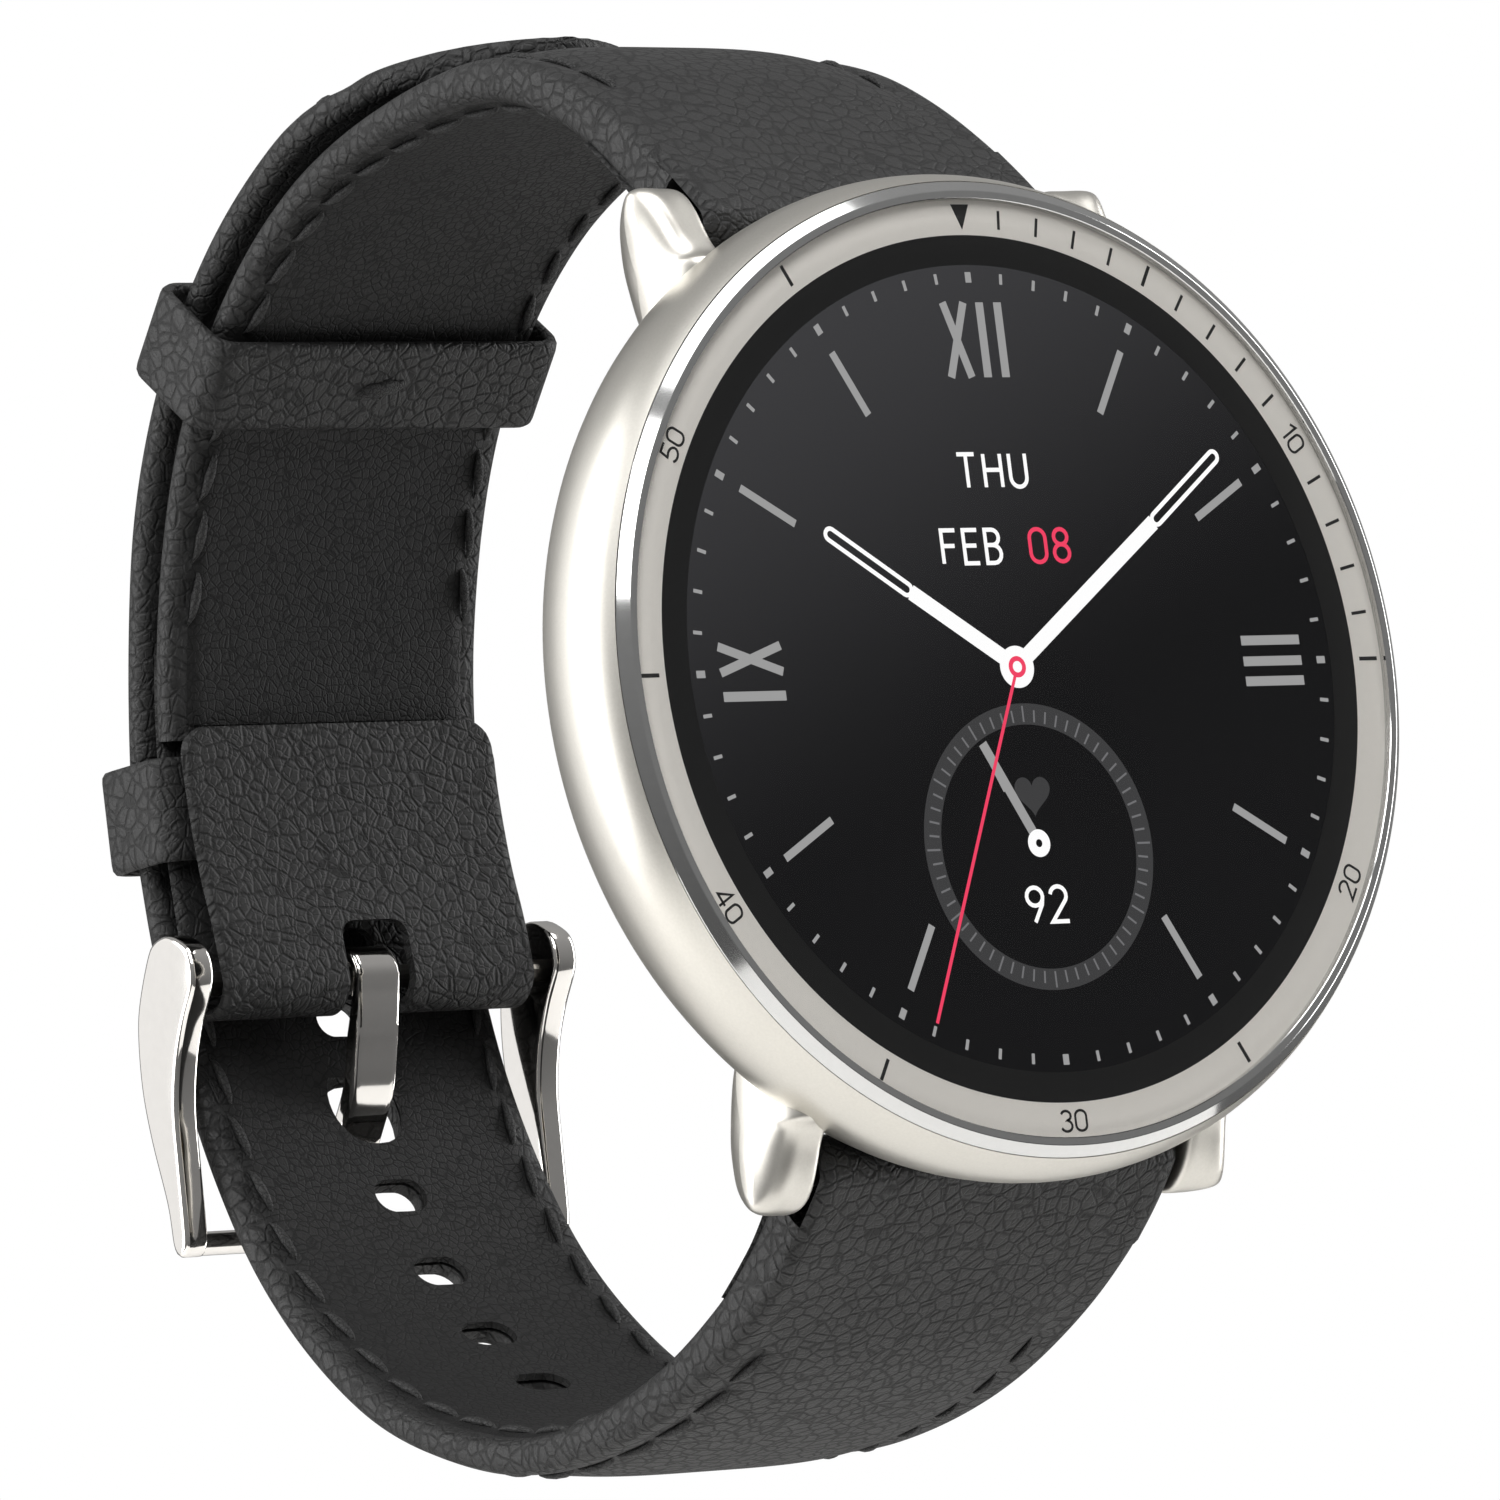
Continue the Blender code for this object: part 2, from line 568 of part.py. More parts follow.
def hole_cutters(route):
    """Plugs for the adjusting holes. The used one is slanted along the buckle's tongue."""
    used = nearest_length(route, (52.2, -12.3))
    cutters = []
    for index in range(-4, 4):
        point, across = route.place(used + index * HOLE_PITCH)
        direction = Vector((0, across.x, across.y))
        length = HOLE_LENGTH
        middle = point + across * 0.7
        if index == 0:
            direction = Vector((0, *(Vector(TONGUE_MIDDLE[6]) - Vector(TONGUE_MIDDLE[4])))).normalized()
            middle = Vector(TONGUE_MIDDLE[5])
            length = USED_HOLE_LENGTH
        side = Vector((1, 0, 0))
        turn = Matrix((side, direction.cross(side), direction)).transposed().to_4x4()
        frame = Matrix.Translation(at(0, *middle)) @ turn
        cutters.append(add_cutter(f"strap_hole_{index + 4}", oval(HOLE_WIDTH, length, 4.4, frame)))
    return cutters


def nearest_length(route, target):
    best = min(range(len(route.points)), key=lambda index: (route.points[index] - Vector(target)).length)
    return route.lengths[best]


def add_keepers():
    low, high = 0.2, 5.0
    fixed = box((-9.8, 50.55, low), (9.8, 55.7, high), 0.25)
    keeper = add_object("fixed_keeper", fixed, "leather")
    slot = box((-9.2, 51.1, low - 1), (9.2, 54.98, high + 1))
    combine(keeper, add_cutter("fixed_keeper_slot", slot), "DIFFERENCE")

    frame = Matrix.Translation(at(0, *KEEPER_CENTRE)) @ Matrix.Rotation(math.radians(KEEPER_ANGLE), 4, "X")
    band = keeper_block(9.8, 21.85, 27.9, KEEPER_WIDTH, frame, 0.25)
    sliding = add_object("sliding_keeper", band, "leather", origin=at(0, *KEEPER_CENTRE))
    cutter = add_cutter("sliding_keeper_slot", keeper_block(9.2, 22.5, 27.4, KEEPER_WIDTH + 2, frame))
    combine(sliding, cutter, "DIFFERENCE")


def keeper_block(half, near, far, width, frame, bevel=0.0):
    """A block that stands out along the frame's Y between two distances, and is as wide as the band along Z."""
    bm = bmesh.new()
    bmesh.ops.create_cube(bm, size=1.0)
    bmesh.ops.scale(bm, vec=Vector((half * 2, far - near, width)) * MM, verts=bm.verts)
    bmesh.ops.translate(bm, vec=(0, (near + far) / 2 * MM, 0), verts=bm.verts)
    if bevel:
        bmesh.ops.bevel(bm, geom=bm.edges, offset=bevel * MM, segments=1, affect="EDGES", profile=0.5)
    bmesh.ops.transform(bm, matrix=frame, verts=bm.verts)
    return bm


TONGUE_HOOK = arc(BUCKLE_BAR, 1.18, -25, 180, 9)
TONGUE_MIDDLE = [
    (49.45, -7.2),
    (49.95, -8.6),
    (50.4, -10.0),
    (50.75, -10.8),
    (51.25, -11.55),
    (51.9, -12.4),
    (52.5, -13.25),
    (52.95, -14.3),
    (53.1, -15.7),
    (53.0, -18.1),
]


def add_buckle():
    plate = [(49.0, -3.7), (48.3, -4.25), (48.07, -5.1), (48.26, -6.0), (49.27, -7.5), (50.1, -9.2)]
    plate += [(50.65, -11.3), (50.79, -13.7), (50.9, -16.4), (51.05, -17.5), (51.6, -17.9), (52.15, -17.4)]
    plate += [(52.3, -15.4), (52.95, -12.4), (53.24, -10.0), (53.1, -7.6), (52.66, -6.0), (51.55, -4.0)]
    plate += [(50.85, -3.45), (49.85, -3.35)]
    hinge = at(0, *BUCKLE_BAR)
    frame = add_object("buckle_frame", prism(plate, PLATE_INNER, PLATE_OUTER), "polished", origin=hinge)
    other = prism(plate, -PLATE_OUTER, -PLATE_INNER)
    combine(frame, add_cutter("left_plate", other), "UNION")
    across = axis_frame(at(0, *CROSSBAR), Vector((1, 0, 0)))
    reach = PLATE_OUTER - 0.4
    combine(frame, add_cutter("crossbar", disc(CROSSBAR_RADIUS, -reach, reach, SMALL_STEPS, across)), "UNION")
    bar_frame = axis_frame(hinge, Vector((1, 0, 0)))
    bar_end = PLATE_OUTER - 0.5
    socket = disc(BUCKLE_BAR_RADIUS + GAP, -bar_end - 0.1, bar_end + 0.1, SMALL_STEPS, bar_frame)
    combine(frame, add_cutter("bar_sockets", socket), "DIFFERENCE")
    add_object(
        "buckle_bar",
        disc(BUCKLE_BAR_RADIUS, 0.2 - bar_end, bar_end - 0.2, SMALL_STEPS, bar_frame),
        "steel",
        smooth_angle=30,
    )
    middle = Route(TONGUE_HOOK + TONGUE_MIDDLE, inward=1)
    hook = Route(TONGUE_HOOK, inward=1).length
    half = table([(0, 0.25), (hook, 0.25), (hook + 3, 0.48), (middle.length - 3, 0.48), (middle.length, 0.35)])
    reach = table([(0, TONGUE_WIDTH / 2), (middle.length - 2, TONGUE_WIDTH / 2), (middle.length, 0.8)])
    strip = ribbon(middle, 0, middle.length, lambda s: -half(s), half, reach, 0.15)
    add_object("buckle_tongue", strip, "polished", smooth_angle=40, origin=hinge)


clear_scene()
add_case()
add_front()
add_insides()
add_back()
for side, turn in BUTTON_ANGLES.items():
    add_button(side, turn)
add_spring_bar("upper", 1)
add_spring_bar("lower", -1)
add_buckle_strap()
add_hole_strap()
add_keepers()
add_buckle()
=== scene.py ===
import math

import bmesh
import bpy
from mathutils import Matrix, Vector


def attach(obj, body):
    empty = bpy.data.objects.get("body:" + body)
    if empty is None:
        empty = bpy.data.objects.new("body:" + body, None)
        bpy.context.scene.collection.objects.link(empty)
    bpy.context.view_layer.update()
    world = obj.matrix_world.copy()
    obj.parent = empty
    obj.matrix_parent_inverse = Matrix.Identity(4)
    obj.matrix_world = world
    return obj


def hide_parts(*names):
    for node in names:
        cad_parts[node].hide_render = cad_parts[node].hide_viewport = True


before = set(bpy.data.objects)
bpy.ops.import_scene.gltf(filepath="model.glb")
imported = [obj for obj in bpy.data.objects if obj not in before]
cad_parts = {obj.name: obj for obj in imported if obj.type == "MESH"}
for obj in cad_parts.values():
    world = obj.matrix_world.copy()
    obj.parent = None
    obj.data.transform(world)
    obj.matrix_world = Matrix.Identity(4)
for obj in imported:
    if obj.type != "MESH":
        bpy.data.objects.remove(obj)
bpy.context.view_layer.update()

MM = 0.001
SEAT_DEPTH = 9.3

# ---------------------------------------------------------------- places and routes


def at(x, depth, height):
    """A point from its distances in millimetres across, behind and up the dial."""
    return Vector((x, depth - SEAT_DEPTH, height)) * MM


def arc(centre, radius, first, last, count):
    points = []
    for index in range(count + 1):
        angle = math.radians(first + (last - first) * index / count)
        points.append((centre[0] + radius * math.cos(angle), centre[1] + radius * math.sin(angle)))
    return points


def table(pairs):
    """A function that reads straight lines between (length, value) pairs."""

    def read(length):
        for (first, low), (last, high) in zip(pairs, pairs[1:]):
            if length <= last:
                return low + (high - low) * max(length - first, 0.0) / (last - first)
        return pairs[-1][1]

    return read


class Route:
    """A smooth line in the (depth, height) plane, read by the distance along it."""

    def __init__(self, points, inward=1, closed=False):
        self.inward = inward
        self.points = []
        count = len(points)
        for index in range(count if closed else count - 1):
            if closed:
                four = [points[(index + step) % count] for step in (-1, 0, 1, 2)]
            else:
                four = [points[min(max(index + step, 0), count - 1)] for step in (-1, 0, 1, 2)]
            for step in range(8):
                self.points.append(self.blend(*four, step / 8))
        self.points.append(Vector(points[0] if closed else points[-1]))
        self.lengths = [0.0]
        for first, last in zip(self.points, self.points[1:]):
            self.lengths.append(self.lengths[-1] + (last - first).length)
        self.length = self.lengths[-1]

    @staticmethod
    def blend(before, first, last, after, part):
        p0, p1, p2, p3 = Vector(before), Vector(first), Vector(last), Vector(after)
        line = 2 * p1 + (p2 - p0) * part
        bend = (2 * p0 - 5 * p1 + 4 * p2 - p3) * part**2
        twist = (3 * p1 - p0 - 3 * p2 + p3) * part**3
        return (line + bend + twist) / 2

    def place(self, length):
        length = min(max(length, 0.0), self.length)
        low, high = 0, len(self.lengths) - 1
        while high - low > 1:
            middle = (low + high) // 2
            if self.lengths[middle] <= length:
                low = middle
            else:
                high = middle
        part = (length - self.lengths[low]) / (self.lengths[high] - self.lengths[low])
        point = self.points[low].lerp(self.points[high], part)
        before = self.points[max(low - 1, 0)]
        after = self.points[min(high + 1, len(self.points) - 1)]
        tangent = (after - before).normalized()
        return point, Vector((-tangent.y, tangent.x)) * self.inward

    def offset(self, length, depth):
        point, across = self.place(length)
        return tuple(point + across * depth)


def smooth_step(value, low, high):
    part = min(max((value - low) / (high - low), 0.0), 1.0)
    return part * part * (3 - 2 * part)


# ---------------------------------------------------------------- materials


def linear(code):
    channels = [int(code[index : index + 2], 16) / 255 for index in (1, 3, 5)]
    return tuple(c / 12.92 if c <= 0.04045 else ((c + 0.055) / 1.055) ** 2.4 for c in channels) + (1.0,)


def node(tree, kind, settings=(), values=(), links=()):
    """Add a node with its settings, its socket values and the sockets linked into it."""
    made = tree.nodes.new(kind)
    for name, value in dict(settings).items():
        setattr(made, name, value)
    for name, value in dict(values).items():
        made.inputs[name].default_value = value
    for name, socket in dict(links).items():
        tree.links.new(socket, made.inputs[name])
    return made


def finish(name, colour, metallic=0.0, roughness=0.5, **sockets):
    """A Principled material, its tree and its shader."""
    made = bpy.data.materials.new(name)
    made.use_nodes = True
    tree = made.node_tree
    shader = tree.nodes["Principled BSDF"]
    shader.inputs["Base Color"].default_value = linear(colour)
    shader.inputs["Metallic"].default_value = metallic
    shader.inputs["Roughness"].default_value = roughness
    for socket, value in sockets.items():
        shader.inputs[socket.replace("_", " ")].default_value = value
    return made, tree, shader


def noise(tree, place, size_mm, detail):
    """Soft noise with blotches of about this size."""
    values = {"Scale": 1 / (size_mm * MM), "Detail": detail}
    return node(tree, "ShaderNodeTexNoise", values=values, links={"Vector": place})


def cells(tree, place, cell_mm, edge, top=1.0):
    """Rounded cells: 0 along the lines between them, rising to a level top inside each."""
    values = {"Scale": 1 / (cell_mm * MM), "Randomness": 1.0}
    found = node(tree, "ShaderNodeTexVoronoi", {"feature": "DISTANCE_TO_EDGE"}, values, {"Vector": place})
    values = {"From Max": edge, "To Max": top}
    eased = {"interpolation_type": "SMOOTHSTEP"}
    return node(tree, "ShaderNodeMapRange", eased, values, {"Value": found.outputs["Distance"]}).outputs[0]


def multiply_add(tree, value, factor, added):
    links = {0: value, 2: added}
    return node(tree, "ShaderNodeMath", {"operation": "MULTIPLY_ADD"}, {1: factor}, links).outputs[0]


def two_tones(tree, part, low, high):
    """A colour between two tones, as the part runs from 0 to 1."""
    tone = node(tree, "ShaderNodeMix", {"data_type": "RGBA"}, links={0: part})
    tone.inputs[6].default_value = linear(low)
    tone.inputs[7].default_value = linear(high)
    return tone.outputs[2]


def dress_shader(tree, shader, tone, part, rough, bump_strength, height, height_mm):
    """Link a tone, a roughness that runs with the part from rough[0] to rough[1], and a relief."""
    values = {"To Min": rough[0], "To Max": rough[1]}
    spread = node(tree, "ShaderNodeMapRange", values=values, links={"Value": part})
    values = {"Strength": bump_strength, "Distance": height_mm * MM}
    bump = node(tree, "ShaderNodeBump", values=values, links={"Height": height})
    tree.links.new(tone, shader.inputs["Base Color"])
    tree.links.new(spread.outputs[0], shader.inputs["Roughness"])
    tree.links.new(bump.outputs[0], shader.inputs["Normal"])


def fine_grained(name, colour, darker, roughness, spread, grain_mm, height_mm, metallic=1.0):
    """A metal or ink whose roughness and tone wander a little over a fine grain."""
    made, tree, shader = finish(name, colour, metallic, roughness)
    place = node(tree, "ShaderNodeTexCoord").outputs["Object"]
    grain = noise(tree, place, grain_mm, 2.0).outputs["Fac"]
    patch = noise(tree, place, PATCH_MM, 3.0).outputs["Fac"]
    rough = (roughness - spread, roughness + spread)
    dress_shader(tree, shader, two_tones(tree, grain, darker, colour), patch, rough, 0.35, grain, height_mm)
    return made


def grained_leather(name, colour, valley_shade, pebble_mm, height_mm, roughness, crease):
    """Leather: rounded pebbles with painted shade darkening the valleys between them, crossed by a few long
    creases.
    """
    made, tree, shader = finish(name, colour, 0.0, roughness, Specular_IOR_Level=0.25)
    place = node(tree, "ShaderNodeTexCoord").outputs["Object"]
    warp = noise(tree, place, WARP_MM, 2.0).outputs["Color"]
    bend = node(tree, "ShaderNodeVectorMath", {"operation": "SCALE"}, {"Scale": 0.9 * MM}, {0: warp})
    links = {0: place, 1: bend.outputs[0]}
    moved = node(tree, "ShaderNodeVectorMath", {"operation": "ADD"}, links=links).outputs[0]
    dome = cells(tree, moved, pebble_mm, 0.15)
    grit = cells(tree, moved, pebble_mm / 2.1, 0.2, 0.35)
    domes = node(tree, "ShaderNodeMath", {"operation": "ADD"}, links={0: dome, 1: grit}).outputs[0]
    folds = node(
        tree,
        "ShaderNodeTexNoise",
        {"noise_type": "RIDGED_MULTIFRACTAL", "normalize": True},
        {"Scale": 1 / (CREASE_MM * MM), "Detail": 3.0, "Roughness": 0.6},
        {"Vector": moved},
    )
    creased = multiply_add(tree, folds.outputs["Fac"], -crease, domes)
    height = multiply_add(tree, noise(tree, place, PORE_MM, 2.0).outputs["Fac"], 0.22, creased)
    rough = (roughness + 0.16, roughness)
    # Painted shade: the valley colour darkens the lines between the pebbles
    dress_shader(tree, shader, two_tones(tree, dome, valley_shade, colour), dome, rough, 1.0, height, height_mm)
    return made


def light_print(name, colour):
    """A lit shape on the display: its own light, and no shine of its own."""
    made, _, shader = finish(name, "#000000", 0.0, 0.9, Specular_IOR_Level=0.0)
    shader.inputs["Emission Color"].default_value = linear(colour)
    shader.inputs["Emission Strength"].default_value = 1.0
    return made


def display_with_painted_reflection():
    """An OLED panel behind glass: near black at the foot, with a painted reflection that glows soft grey
    towards the top.
    """
    made, tree, shader = finish("oled_display_painted_reflection", "#050505", 0.0, 0.9, Specular_IOR_Level=0.0)
    place = node(tree, "ShaderNodeTexCoord").outputs["Object"]
    split = node(tree, "ShaderNodeSeparateXYZ", links={"Vector": place})
    tilt = multiply_add(tree, split.outputs["X"], -0.45, split.outputs["Z"])
    values = {"From Min": -4 * MM, "From Max": 24 * MM}
    haze = node(tree, "ShaderNodeMapRange", {"interpolation_type": "SMOOTHSTEP"}, values, {"Value": tilt})
    # Painted reflection: the panel's glow rises from near black at the foot to soft grey towards the top and
    # left
    tree.links.new(two_tones(tree, haze.outputs[0], "#151516", "#3e3e40"), shader.inputs["Emission Color"])
    shader.inputs["Emission Strength"].default_value = 1.0
    return made


def clear_glass():
    """Coated sapphire glass: clear straight on, and a thin sheen at its grazing edge."""
    made = bpy.data.materials.new("coated_glass")
    made.use_nodes = True
    tree = made.node_tree
    tree.nodes.clear()
    fresnel = node(tree, "ShaderNodeFresnel", values={"IOR": 1.12})
    through = node(tree, "ShaderNodeBsdfTransparent")
    gloss = node(tree, "ShaderNodeBsdfGlossy", values={"Roughness": 0.03})
    links = {0: fresnel.outputs[0], 1: through.outputs[0], 2: gloss.outputs[0]}
    mixed = node(tree, "ShaderNodeMixShader", links=links)
    node(tree, "ShaderNodeOutputMaterial", links={"Surface": mixed.outputs[0]})
    return made


# The sizes of the slow changes in the finishes, in millimetres
PATCH_MM = 9
WARP_MM = 3.0
CREASE_MM = 4.5
PORE_MM = 0.16

# Bead-blasted stainless steel under a champagne coat: soft broad highlights with no grain lines
SATIN = fine_grained("bead_blasted_champagne_steel", "#cbc8c1", "#bfbcb5", 0.36, 0.03, 0.12, 0.004)
# Polished steel: sharp reflections, with hairline wear that only shows as a faint haze
POLISHED = fine_grained("polished_nickel_steel", "#dedbd7", "#d8d5d1", 0.09, 0.03, 0.5, 0.001)
# The bezel's mirror polish: a thin bright line on the chamfer, a shade cooler than the case
BEZEL = fine_grained("polished_bezel_steel", "#c9c9c8", "#c2c2c1", 0.08, 0.02, 0.4, 0.001)
# Spring bar steel: turned and left bright, so it shows a broken grey sheen
TURNED = fine_grained("turned_spring_steel", "#8f8d88", "#7d7b77", 0.35, 0.05, 0.2, 0.003)
# Top grain calf leather: charcoal, pebbled, with a dull wax shine on each pebble
CALF = grained_leather("pebbled_calf_leather", "#252525", "#191919", 0.72, 0.05, 0.5, 0.6)
# Lining calf: finer grain, darker in its own tone and further darkened with painted shade for the strap's
# inner side, creased where the strap bends
LINING = grained_leather("fine_lining_leather", "#131313", "#0c0c0c", 0.42, 0.022, 0.6, 0.5)
# Waxed thread: near black, with a fibrous surface that breaks up its shine
THREAD = grained_leather("waxed_thread", "#2c2c2c", "#161616", 0.2, 0.02, 0.5, 0.2)
# Cream ink: an even, warm eggshell ring that shows no reflections
RING = fine_grained("printed_cream_ink", "#ece8e1", "#e6e2db", 0.4, 0.02, 0.2, 0.001, metallic=0.0)
# Grey ink: flat near-black figures, crisp against the cream
INK = finish("printed_grey_ink", "#1c1c1c", 0.0, 0.6)[0]
# Glass: nearly unseen from the front
GLASS = clear_glass()
# Display: the ground that the lit marks stand out from, glowing with a painted reflection that brightens
# towards the top
DISPLAY = display_with_painted_reflection()
# Mask ink: a black border that hides where the display ends
BORDER = finish("black_mask_ink", "#070707", 0.0, 0.5)[0]
# Lit shapes: even light that stays the same colour from every side
LIT_WHITE = light_print("lit_white", "#ffffff")
LIT_GREY = light_print("lit_grey", "#9c9c9c")
LIT_TICK = light_print("lit_tick", "#707072")
LIT_DIM = light_print("lit_dim", "#3f3f40")
LIT_RED = light_print("lit_red", "#f04465")

# ---------------------------------------------------------------- mesh helpers

# Corners nearer than this, in metres, are one corner
SAME_PLACE = 2e-7


def add_piece(name, bm, look, smooth_angle=None, body="case", replaces=()):
    bmesh.ops.remove_doubles(bm, verts=bm.verts, dist=SAME_PLACE)
    bmesh.ops.recalc_face_normals(bm, faces=bm.faces)
    mesh = bpy.data.meshes.new(name)
    bm.to_mesh(mesh)
    bm.free()
    obj = bpy.data.objects.new(name, mesh)
    mesh.materials.append(look)
    if smooth_angle is not None:
        mesh.shade_smooth()
        mesh.set_sharp_from_angle(angle=math.radians(smooth_angle))
    bpy.context.scene.collection.objects.link(obj)
    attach(obj, body)
    if replaces:
        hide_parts(*replaces)
    return obj


def axis_frame(origin, axis):
    return Matrix.Translation(origin) @ axis.to_track_quat("Z", "Y").to_matrix().to_4x4()


DIAL = axis_frame(at(0, 0, 0), Vector((0, 1, 0)))


def lathe(profile, steps=256, frame_matrix=DIAL, closed=False):
    """Turn (radius, depth) points about the frame's Z axis."""
    bm = bmesh.new()
    points = [bm.verts.new((radius * MM, 0, depth * MM)) for radius, depth in profile]
    pairs = list(zip(points, points[1:]))
    if closed:
        pairs.append((points[-1], points[0]))
    edges = [bm.edges.new(pair) for pair in pairs]
    bmesh.ops.spin(
        bm, geom=points + edges, cent=(0, 0, 0), axis=(0, 0, 1), angle=math.tau, steps=steps, use_merge=True
    )
    bmesh.ops.remove_doubles(bm, verts=bm.verts, dist=1e-7)
    bmesh.ops.transform(bm, matrix=frame_matrix, verts=bm.verts)
    return bm


def skin(along, around, place, cap=True):
    """A tube woven from a grid: place(u, v) gives each corner for u along and v around, both 0 to 1."""
    bm = bmesh.new()
    bmesh.ops.create_grid(bm, x_segments=along, y_segments=around, size=1.0)
    for vert in bm.verts:
        vert.co = place((vert.co.x + 1) / 2, (vert.co.y + 1) / 2)
    bmesh.ops.remove_doubles(bm, verts=bm.verts, dist=SAME_PLACE)
    if cap:
        rims = [edge for edge in bm.edges if edge.is_boundary]
        bmesh.ops.holes_fill(bm, edges=rims, sides=0)
    return bm


def thicken(bm, faces, shift):
    """Give flat faces a thickness: a moved copy of them, and the walls between."""
    moved = bmesh.ops.extrude_face_region(bm, geom=faces)
    verts = [item for item in moved["geom"] if isinstance(item, bmesh.types.BMVert)]
    bmesh.ops.translate(bm, vec=shift, verts=verts)


def round_edges(bm, edges, radius, segments):
    bmesh.ops.bevel(
        bm, geom=edges, affect="EDGES", offset=radius * MM, segments=segments, profile=0.5, material=-1
    )


def join(target, other):
    mesh = bpy.data.meshes.new("join")
    other.to_mesh(mesh)
    other.free()
    target.from_mesh(mesh)
    bpy.data.meshes.remove(mesh)


def rounded_box_point(v, half, top, bottom, corner):
    """A point (x, depth) on a rounded rectangle, for v from 0 to 1 round it from the top middle."""
    corner = min(corner, (bottom - top) / 2 * 0.98)
    flat, side, turn = half - corner, (bottom - top) / 2 - corner, corner * math.pi / 2
    total = 4 * flat + 4 * side + 4 * turn
    run = (v % 1.0) * total
    middle = (top + bottom) / 2
    steps = (flat, turn, 2 * side, turn, 2 * flat, turn, 2 * side, turn, flat)
    index = 0
    while index < 8 and run > steps[index]:
        run -= steps[index]
        index += 1
    centres = {1: (flat, -side), 3: (flat, side), 5: (-flat, side), 7: (-flat, -side)}
    if index in centres:
        angle = math.radians({1: -90, 3: 0, 5: 90, 7: 180}[index]) + run / max(corner, 1e-9)
        cx, cy = centres[index]
        return cx + corner * math.cos(angle), middle + cy + corner * math.sin(angle)
    if index == 0:
        return run, top
    if index == 2:
        return half, middle - side + run
    if index == 4:
        return flat - run, bottom
    if index == 6:
        return -half, middle + side - run
    return -flat + run, top


# ---------------------------------------------------------------- case

WAIST_DEPTH = 2.4
CASE_RADIUS = 21.92
FLANK_RADIUS = 16.02
RING_INNER = 18.86
BAR_DEPTH = 6.6
BAR_HEIGHT = 20.42
BUTTON_ANGLES = {"upper": 30, "lower": -30}
BUTTON_DEPTH = 4.4

# A lug's side view, as (depth, height) points round it
LUG_OUTLINE = Route(
    [(3.0, 18.4), (3.7, 18.75), (4.3, 19.45), (4.95, 20.75), (5.5, 21.6), (5.9, 21.95)]
    + [(6.4, 22.2), (7.2, 22.25), (8.2, 21.95), (9.0, 21.2), (9.3, 20.3), (9.3, 18.4)]
    + [(8.2, 15.6), (4.6, 15.6)],
    closed=True,
)
LUG_INNER_FACE = 10.1
LUG_TOP, LUG_DEPTH = 3.0, 6.3
# How far the front edge falls back, and where the back edge is, by the distance across the dial
LUG_FRONT = table(
    [(10.1, 0), (11.2, 0), (11.6, 0.08), (11.9, 0.3), (12.2, 0.8), (12.4, 1.4), (12.6, 2.3), (12.8, 2.7)]
)
LUG_BACK = table(
    [(10.1, 9.3), (11.2, 9.2), (11.6, 8.85), (11.9, 8.4), (12.2, 7.95)]
    + [(12.4, 7.55), (12.6, 7.1), (12.8, 6.9)]
)
# From the inner face (0) to the outer one (1): the distance across, and how far the outline shrinks
LUG_RUN = table(
    [(0, 10.1), (0.08, 10.1), (0.13, 10.17), (0.2, 10.35), (0.85, 12.45), (0.93, 12.6), (1, 12.66)]
)
LUG_INSET = table([(0, 1.6), (0.08, 0.24), (0.13, 0.07), (0.2, 0), (0.85, 0), (0.93, 0.16), (1, 0.6)])


def bulge(depth):
    """The case's radius in front of its waist."""
    return CASE_RADIUS - 0.67 * (1 - (depth - 0.05) / 2.35) ** 2.2


def lug():
    """One lug: a horn-shaped side outline drawn from its inner face out to a rounded flank."""

    def section(x, turn):
        depth, height = LUG_OUTLINE.place(LUG_OUTLINE.length * (turn % 1.0))[0]
        part = (depth - LUG_TOP) / LUG_DEPTH
        flare = 0.03 * (height - 18) * (x - LUG_INNER_FACE)
        front = LUG_TOP + LUG_FRONT(x)
        return Vector((x + flare, front + part * (LUG_BACK(x) - front), height - 0.12 * LUG_FRONT(x)))

    def place(u, v):
        x = LUG_RUN(u)
        corner = section(x, v)
        middle = sum((section(x, index / 12) for index in range(12)), Vector()) / 12
        inward = middle - corner
        corner = corner + inward.normalized() * min(LUG_INSET(u), inward.length * 0.8)
        return at(*corner)

    bm = skin(40, 120, place)
    every_way = {"use_axis_x": True, "use_axis_y": True, "use_axis_z": True}
    for _ in range(14):
        bmesh.ops.smooth_vert(bm, verts=bm.verts, factor=0.5, **every_way)
    return bm


def button_frame(side):
    """The frame of a push button, its Z axis out along the button."""
    turn = math.radians(BUTTON_ANGLES[side])
    return axis_frame(at(0, BUTTON_DEPTH, 0), Vector((math.cos(turn), 0, math.sin(turn))))


